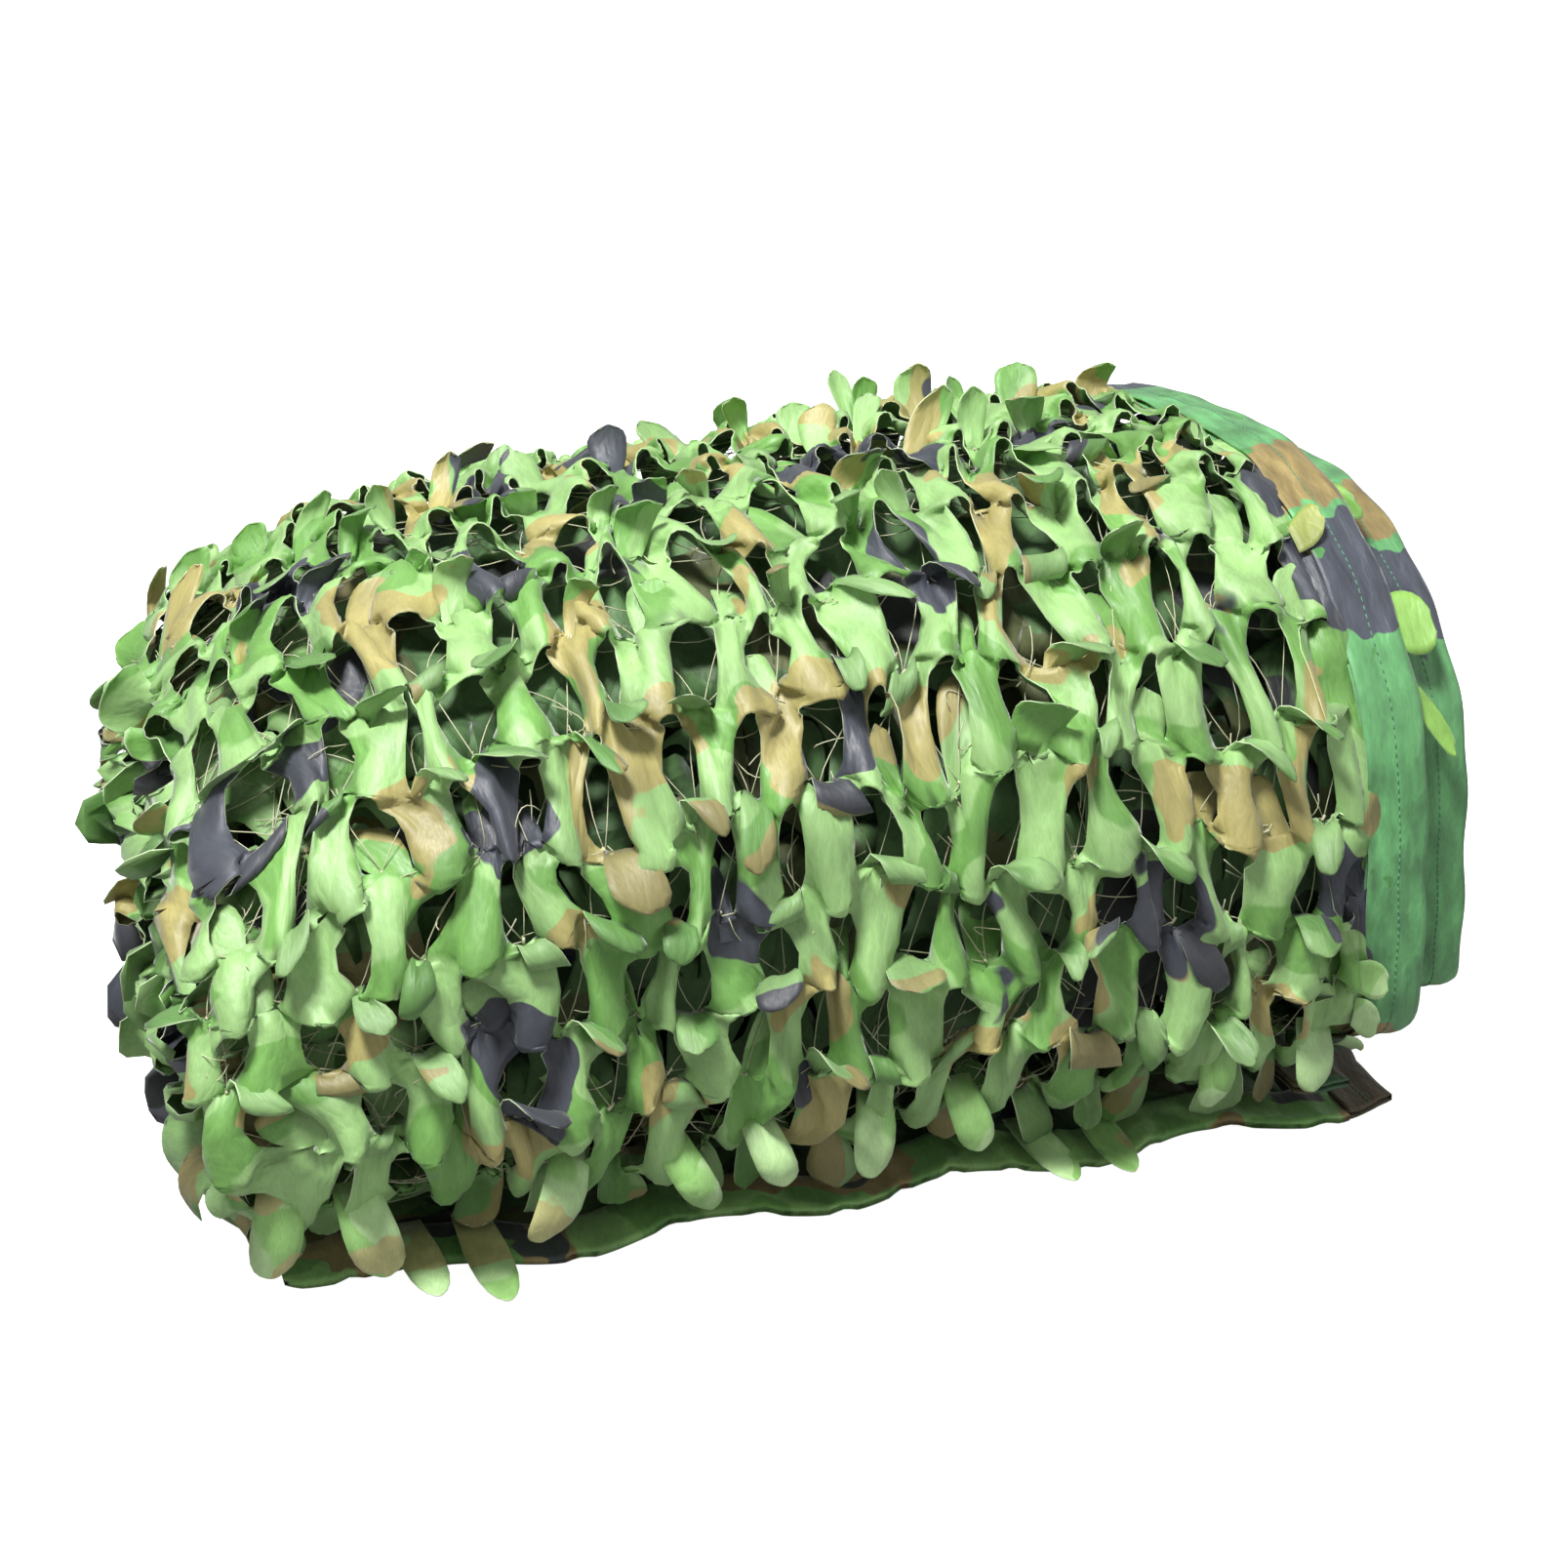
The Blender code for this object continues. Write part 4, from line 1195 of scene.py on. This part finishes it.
def camouflage(graph, colours):
    """Patches of four colours over each other, from noise on the flat cloth, in metres."""
    uv = graph.flat_place()
    warp = graph.node("ShaderNodeTexNoise", {"Vector": uv, "Scale": 38, "Detail": 1.0})
    away = graph.moved(warp.outputs["Color"], (-0.5, -0.5, -0.5))
    away = graph.node("ShaderNodeVectorMath", {0: away, 3: WARP}, operation="SCALE").outputs[0]
    vector = graph.moved(uv, away)
    found = colours[0]
    for colour, (seed, scale, level, edge) in zip(colours[1:], PATCHES):
        found = graph.mix(graph.patch(vector, seed, scale, level, edge=edge), found, colour)
    return found, uv


def palette(*colours):
    """Colours of 0 to 255 as linear light."""
    return tuple(linear(*colour) for colour in colours)


GREENS = palette((150, 192, 119), (112, 165, 78), (168, 158, 96), (60, 64, 74))
REVERSE = palette((124, 162, 98), (92, 138, 66), (138, 130, 80), (58, 61, 68))
TEALS = palette((94, 160, 98), (76, 142, 72), (142, 124, 76), (66, 71, 82))
# painted light: the print again for the hem, its colours retuned because the hem lies in the
# bundle's shadow
HEM_PRINT_RETUNED_FOR_SHADOW = palette((150, 198, 116), (116, 170, 88), (158, 140, 92), (66, 72, 70))
# painted highlight: pale leaf colours, as leaves catching the light
PALE_TIPS_PAINTED_HIGHLIGHT = palette((182, 218, 152), (150, 200, 114), (186, 184, 122), (136, 186, 100))
LOOSE_LEAVES = palette((136, 184, 84), (112, 166, 66), (150, 160, 78), (104, 150, 62))
# painted shade: a darker copy of the print for the inner cloth out of sight
INSIDE_PAINTED_SHADE_GREENS = palette((78, 116, 62), (56, 92, 42), (84, 92, 48), (34, 40, 38))

# %% [markdown]
# All the cloth has one finish: a fine weave, creases, cloudy fading and a slight sheen.


# %% Finish of the cloth
ROUGHNESS_SPREAD = 0.06
CRUMPLE = 0.35


def finish(graph, colour, uv, weave=0.12):
    """Weave and crumple on a material's shader: shade, bump and a roughness that varies.

    The threads run along the cloth; the crumple is a noise folded about its middle,
    |noise - 0.5|, which has creases where the noise crosses it.
    """
    tree = graph.tree
    threads = graph.noise(graph.stretched(uv, 1500, 260), 1.0, 2.0)
    creases = graph.noise(graph.stretched(uv, 95, 38), 1.0, 2.0)
    folds = graph.math("ABSOLUTE", graph.math("SUBTRACT", creases, 0.5))
    shade = graph.ranged(threads, 0.3, 0.7, 0.90, 1.07)
    # the crease lines are a little paler than the cloth between them
    paler_on_crease_lines = graph.ranged(folds, 0.0, 0.10, 1.08, 0.97)
    cloudy = graph.ranged(graph.noise(graph.moved(uv, (5, 2, 0)), 26), 0.32, 0.68, 0.80, 1.16)
    shade = graph.math("MULTIPLY", graph.math("MULTIPLY", shade, paler_on_crease_lines), cloudy)
    shaded = graph.mix(1.0, colour, graph.grey(shade), "MULTIPLY")
    tree.links.new(shaded, graph.shader.inputs["Base Color"])
    values = {"Height": folds, "Strength": CRUMPLE, "Distance": 0.006}
    creased = graph.node("ShaderNodeBump", values).outputs[0]
    values = {"Height": threads, "Strength": weave, "Distance": 0.0004, "Normal": creased}
    bump = graph.node("ShaderNodeBump", values)
    tree.links.new(bump.outputs[0], graph.shader.inputs["Normal"])
    base = graph.shader.inputs["Roughness"].default_value
    rough = graph.ranged(threads, 0.3, 0.7, base + ROUGHNESS_SPREAD, base - ROUGHNESS_SPREAD)
    tree.links.new(rough, graph.shader.inputs["Roughness"])
    graph.shader.inputs["Specular IOR Level"].default_value = 0.8
    graph.shader.inputs["Sheen Weight"].default_value = 0.25
    graph.shader.inputs["Sheen Roughness"].default_value = 0.4
    return graph.material


def cloth_material(name, colours, roughness, pale=0.0):
    """Printed cloth; pale mixes it with white, as where a cut edge catches the light."""
    graph = Graph(name, roughness)
    found, uv = camouflage(graph, colours)
    # painted highlight: the colour is mixed with pale green-white, for light caught on a cut edge
    if pale:
        found = graph.mix(pale, found, linear(225, 240, 200))
    return finish(graph, found, uv)


# %% [markdown]
# The tapes are cut from the same cloth. Folded small, they show its print as long patches, and
# they are more worn than the net. Where they lie on the floor, painted shade darkens them.

# %% The tapes' print
PRINT_WANDER = 0.05  # how far a patch's end wanders, in metres
# up to SHADE_END the side tapes carry painted shade
SHADE_END = 0.815  # along the cloth, where a side tape rises from the floor
TAN_SEED = (3.37, 0, 0.23)
DARK_SEED = (4.37, 0, 0.23)


def tape_material(name, by=0.0):
    """Plain printed tape, in long patches from a noise along it, whose ends wander.

    `by` shifts the patches along the tape. Up to SHADE_END, where the tape lies on the floor, its
    print is darkened to 0.3: painted shade.
    """
    graph = Graph(name, 0.55)
    uv = graph.flat_place()
    light, middle, tan, dark = TEALS
    wander = graph.noise(graph.moved(uv, (by * 90, 0, 0)), 46, 1.0)
    along = graph.math("ADD", graph.node("ShaderNodeSeparateXYZ", {0: uv}).outputs[1], by)
    along = graph.math("ADD", along, graph.math("MULTIPLY", wander, PRINT_WANDER))
    place = graph.node("ShaderNodeCombineXYZ", {1: along}).outputs[0]
    found = graph.mix(graph.patch(place, TAN_SEED, 12, 0.58), light, tan)
    found = graph.mix(graph.patch(place, DARK_SEED, 11, 0.58), found, dark)
    found = graph.mix(graph.patch(uv, (2, 4, 0), 34, 0.67, 2.0), found, middle)
    # painted shade: the print darkened to 0.3 for the part of the tape on the floor
    shaded = graph.mix(1.0, found, (0.3, 0.3, 0.3), "MULTIPLY")
    raised = graph.math("GREATER_THAN", along, SHADE_END)
    found = graph.mix(raised, shaded, found)  # the part on the floor lies in the shade
    streaks = graph.noise(graph.stretched(uv, 110, 38), 1.0, 3.0)
    worn = graph.grey(graph.ranged(streaks, 0.35, 0.70, 0.80, 1.35))
    found = graph.mix(1.0, found, worn, "MULTIPLY")
    return finish(graph, found, uv, weave=0.2)


# %% [markdown]
# Cords and sewing are twisted thread. The floor is plain: white to look at, but it throws
# little light back up.


# %% Thread and floor
def thread_material(name, roughness, grain, shades):
    """Twisted thread: two shades mixed by a noise that is `grain` per metre fine."""
    graph = Graph(name, roughness)
    twine = graph.noise(graph.node("ShaderNodeTexCoord").outputs["Object"], grain, 2.0)
    graph.tree.links.new(graph.mix(twine, *shades), graph.shader.inputs["Base Color"])
    return graph.material


def floor_material(name):
    """White and glowing to the camera, and grey to every other ray."""
    graph = Graph(name, 0.9)
    seen = graph.node("ShaderNodeLightPath").outputs["Is Camera Ray"]
    shade = graph.mix(seen, (0.3, 0.3, 0.3), (0.9, 0.9, 0.9))
    graph.tree.links.new(shade, graph.shader.inputs["Base Color"])
    graph.shader.inputs["Emission Color"].default_value = (1, 1, 1, 1)
    glow = graph.math("MULTIPLY", seen, 0.92)
    graph.tree.links.new(glow, graph.shader.inputs["Emission Strength"])
    return graph.material


# %% [markdown]
# A piece of cut cloth has its printed side, reverse and cut edge; the cut edge is paler, a painted
# highlight. The inner pieces also have painted shade: a darker copy of the print for their cloth
# out of sight.

# %% Dress the pieces
face = cloth_material("net cloth printed side", GREENS, 0.56)
back = cloth_material("net cloth reverse", REVERSE, 0.6)
# painted highlight: the cut edge is the print mixed 0.7 with pale green-white
rim = cloth_material("net cloth cut edge, painted highlight", GREENS, 0.6, 0.7)
# painted shade: deep is the darker copy of the print, for the inner pieces' cloth out of sight
deep = cloth_material("net cloth inside the bundle, painted shade", INSIDE_PAINTED_SHADE_GREENS, 0.7)
tips = cloth_material("net cloth leaf tips, painted highlight", PALE_TIPS_PAINTED_HIGHLIGHT, 0.56)
loose = cloth_material("net cloth loose leaves", LOOSE_LEAVES, 0.56)
SIDES = {name: (face, back, rim) for name in CUT_NAMES}
SIDES.update({name: (face, back, rim, deep, deep, deep) for name in INNER_PIECES})
# painted highlight: the pale tips on the low binding leaves and on the printed side of the leaves
# over the hem
SIDES["leaves_at_bindings"] = (loose, back, rim, tips, back, rim)
SIDES["leaves_over_hem"] = (tips, back, rim)
for piece_name, cloth in CLOTHS.items():
    for material in SIDES[piece_name]:
        cloth.data.materials.append(material)
outer_tape.data.materials.append(tape_material("binding cloth"))
inner_tape.data.materials.append(tape_material("inner binding cloth", 0.010))
# painted light: the hem takes its own copy of the print, retuned for the bundle's shadow on it
front_tape.data.materials.append(cloth_material("hem binding cloth, print retuned for its shadow", HEM_PRINT_RETUNED_FOR_SHADOW, 0.6))
CORD_SHADES = palette((180, 180, 144), (218, 218, 186))
THREAD_SHADES = palette((84, 140, 106), (112, 168, 132))
cord_finish = thread_material("mesh cord", 0.7, 700, CORD_SHADES)
sewing_finish = thread_material("sewing thread", 0.6, 900, THREAD_SHADES)
for pieces, material in ((cords, cord_finish), (sewing, sewing_finish)):
    for piece in pieces:
        piece.data.materials.append(material)
floor.data.materials.append(floor_material("floor"))
print("materials:", len(bpy.data.materials))

# %% [markdown]
# Every piece rides on the bundle's one body.

# %% Hand over
for piece_name, cloth in CLOTHS.items():
    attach(cloth, "root")
for node, piece in TAPES.items():
    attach(piece, "root")
    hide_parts(node)
for piece in (*cords, *sewing):
    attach(piece, "root")
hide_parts("net_cloth")
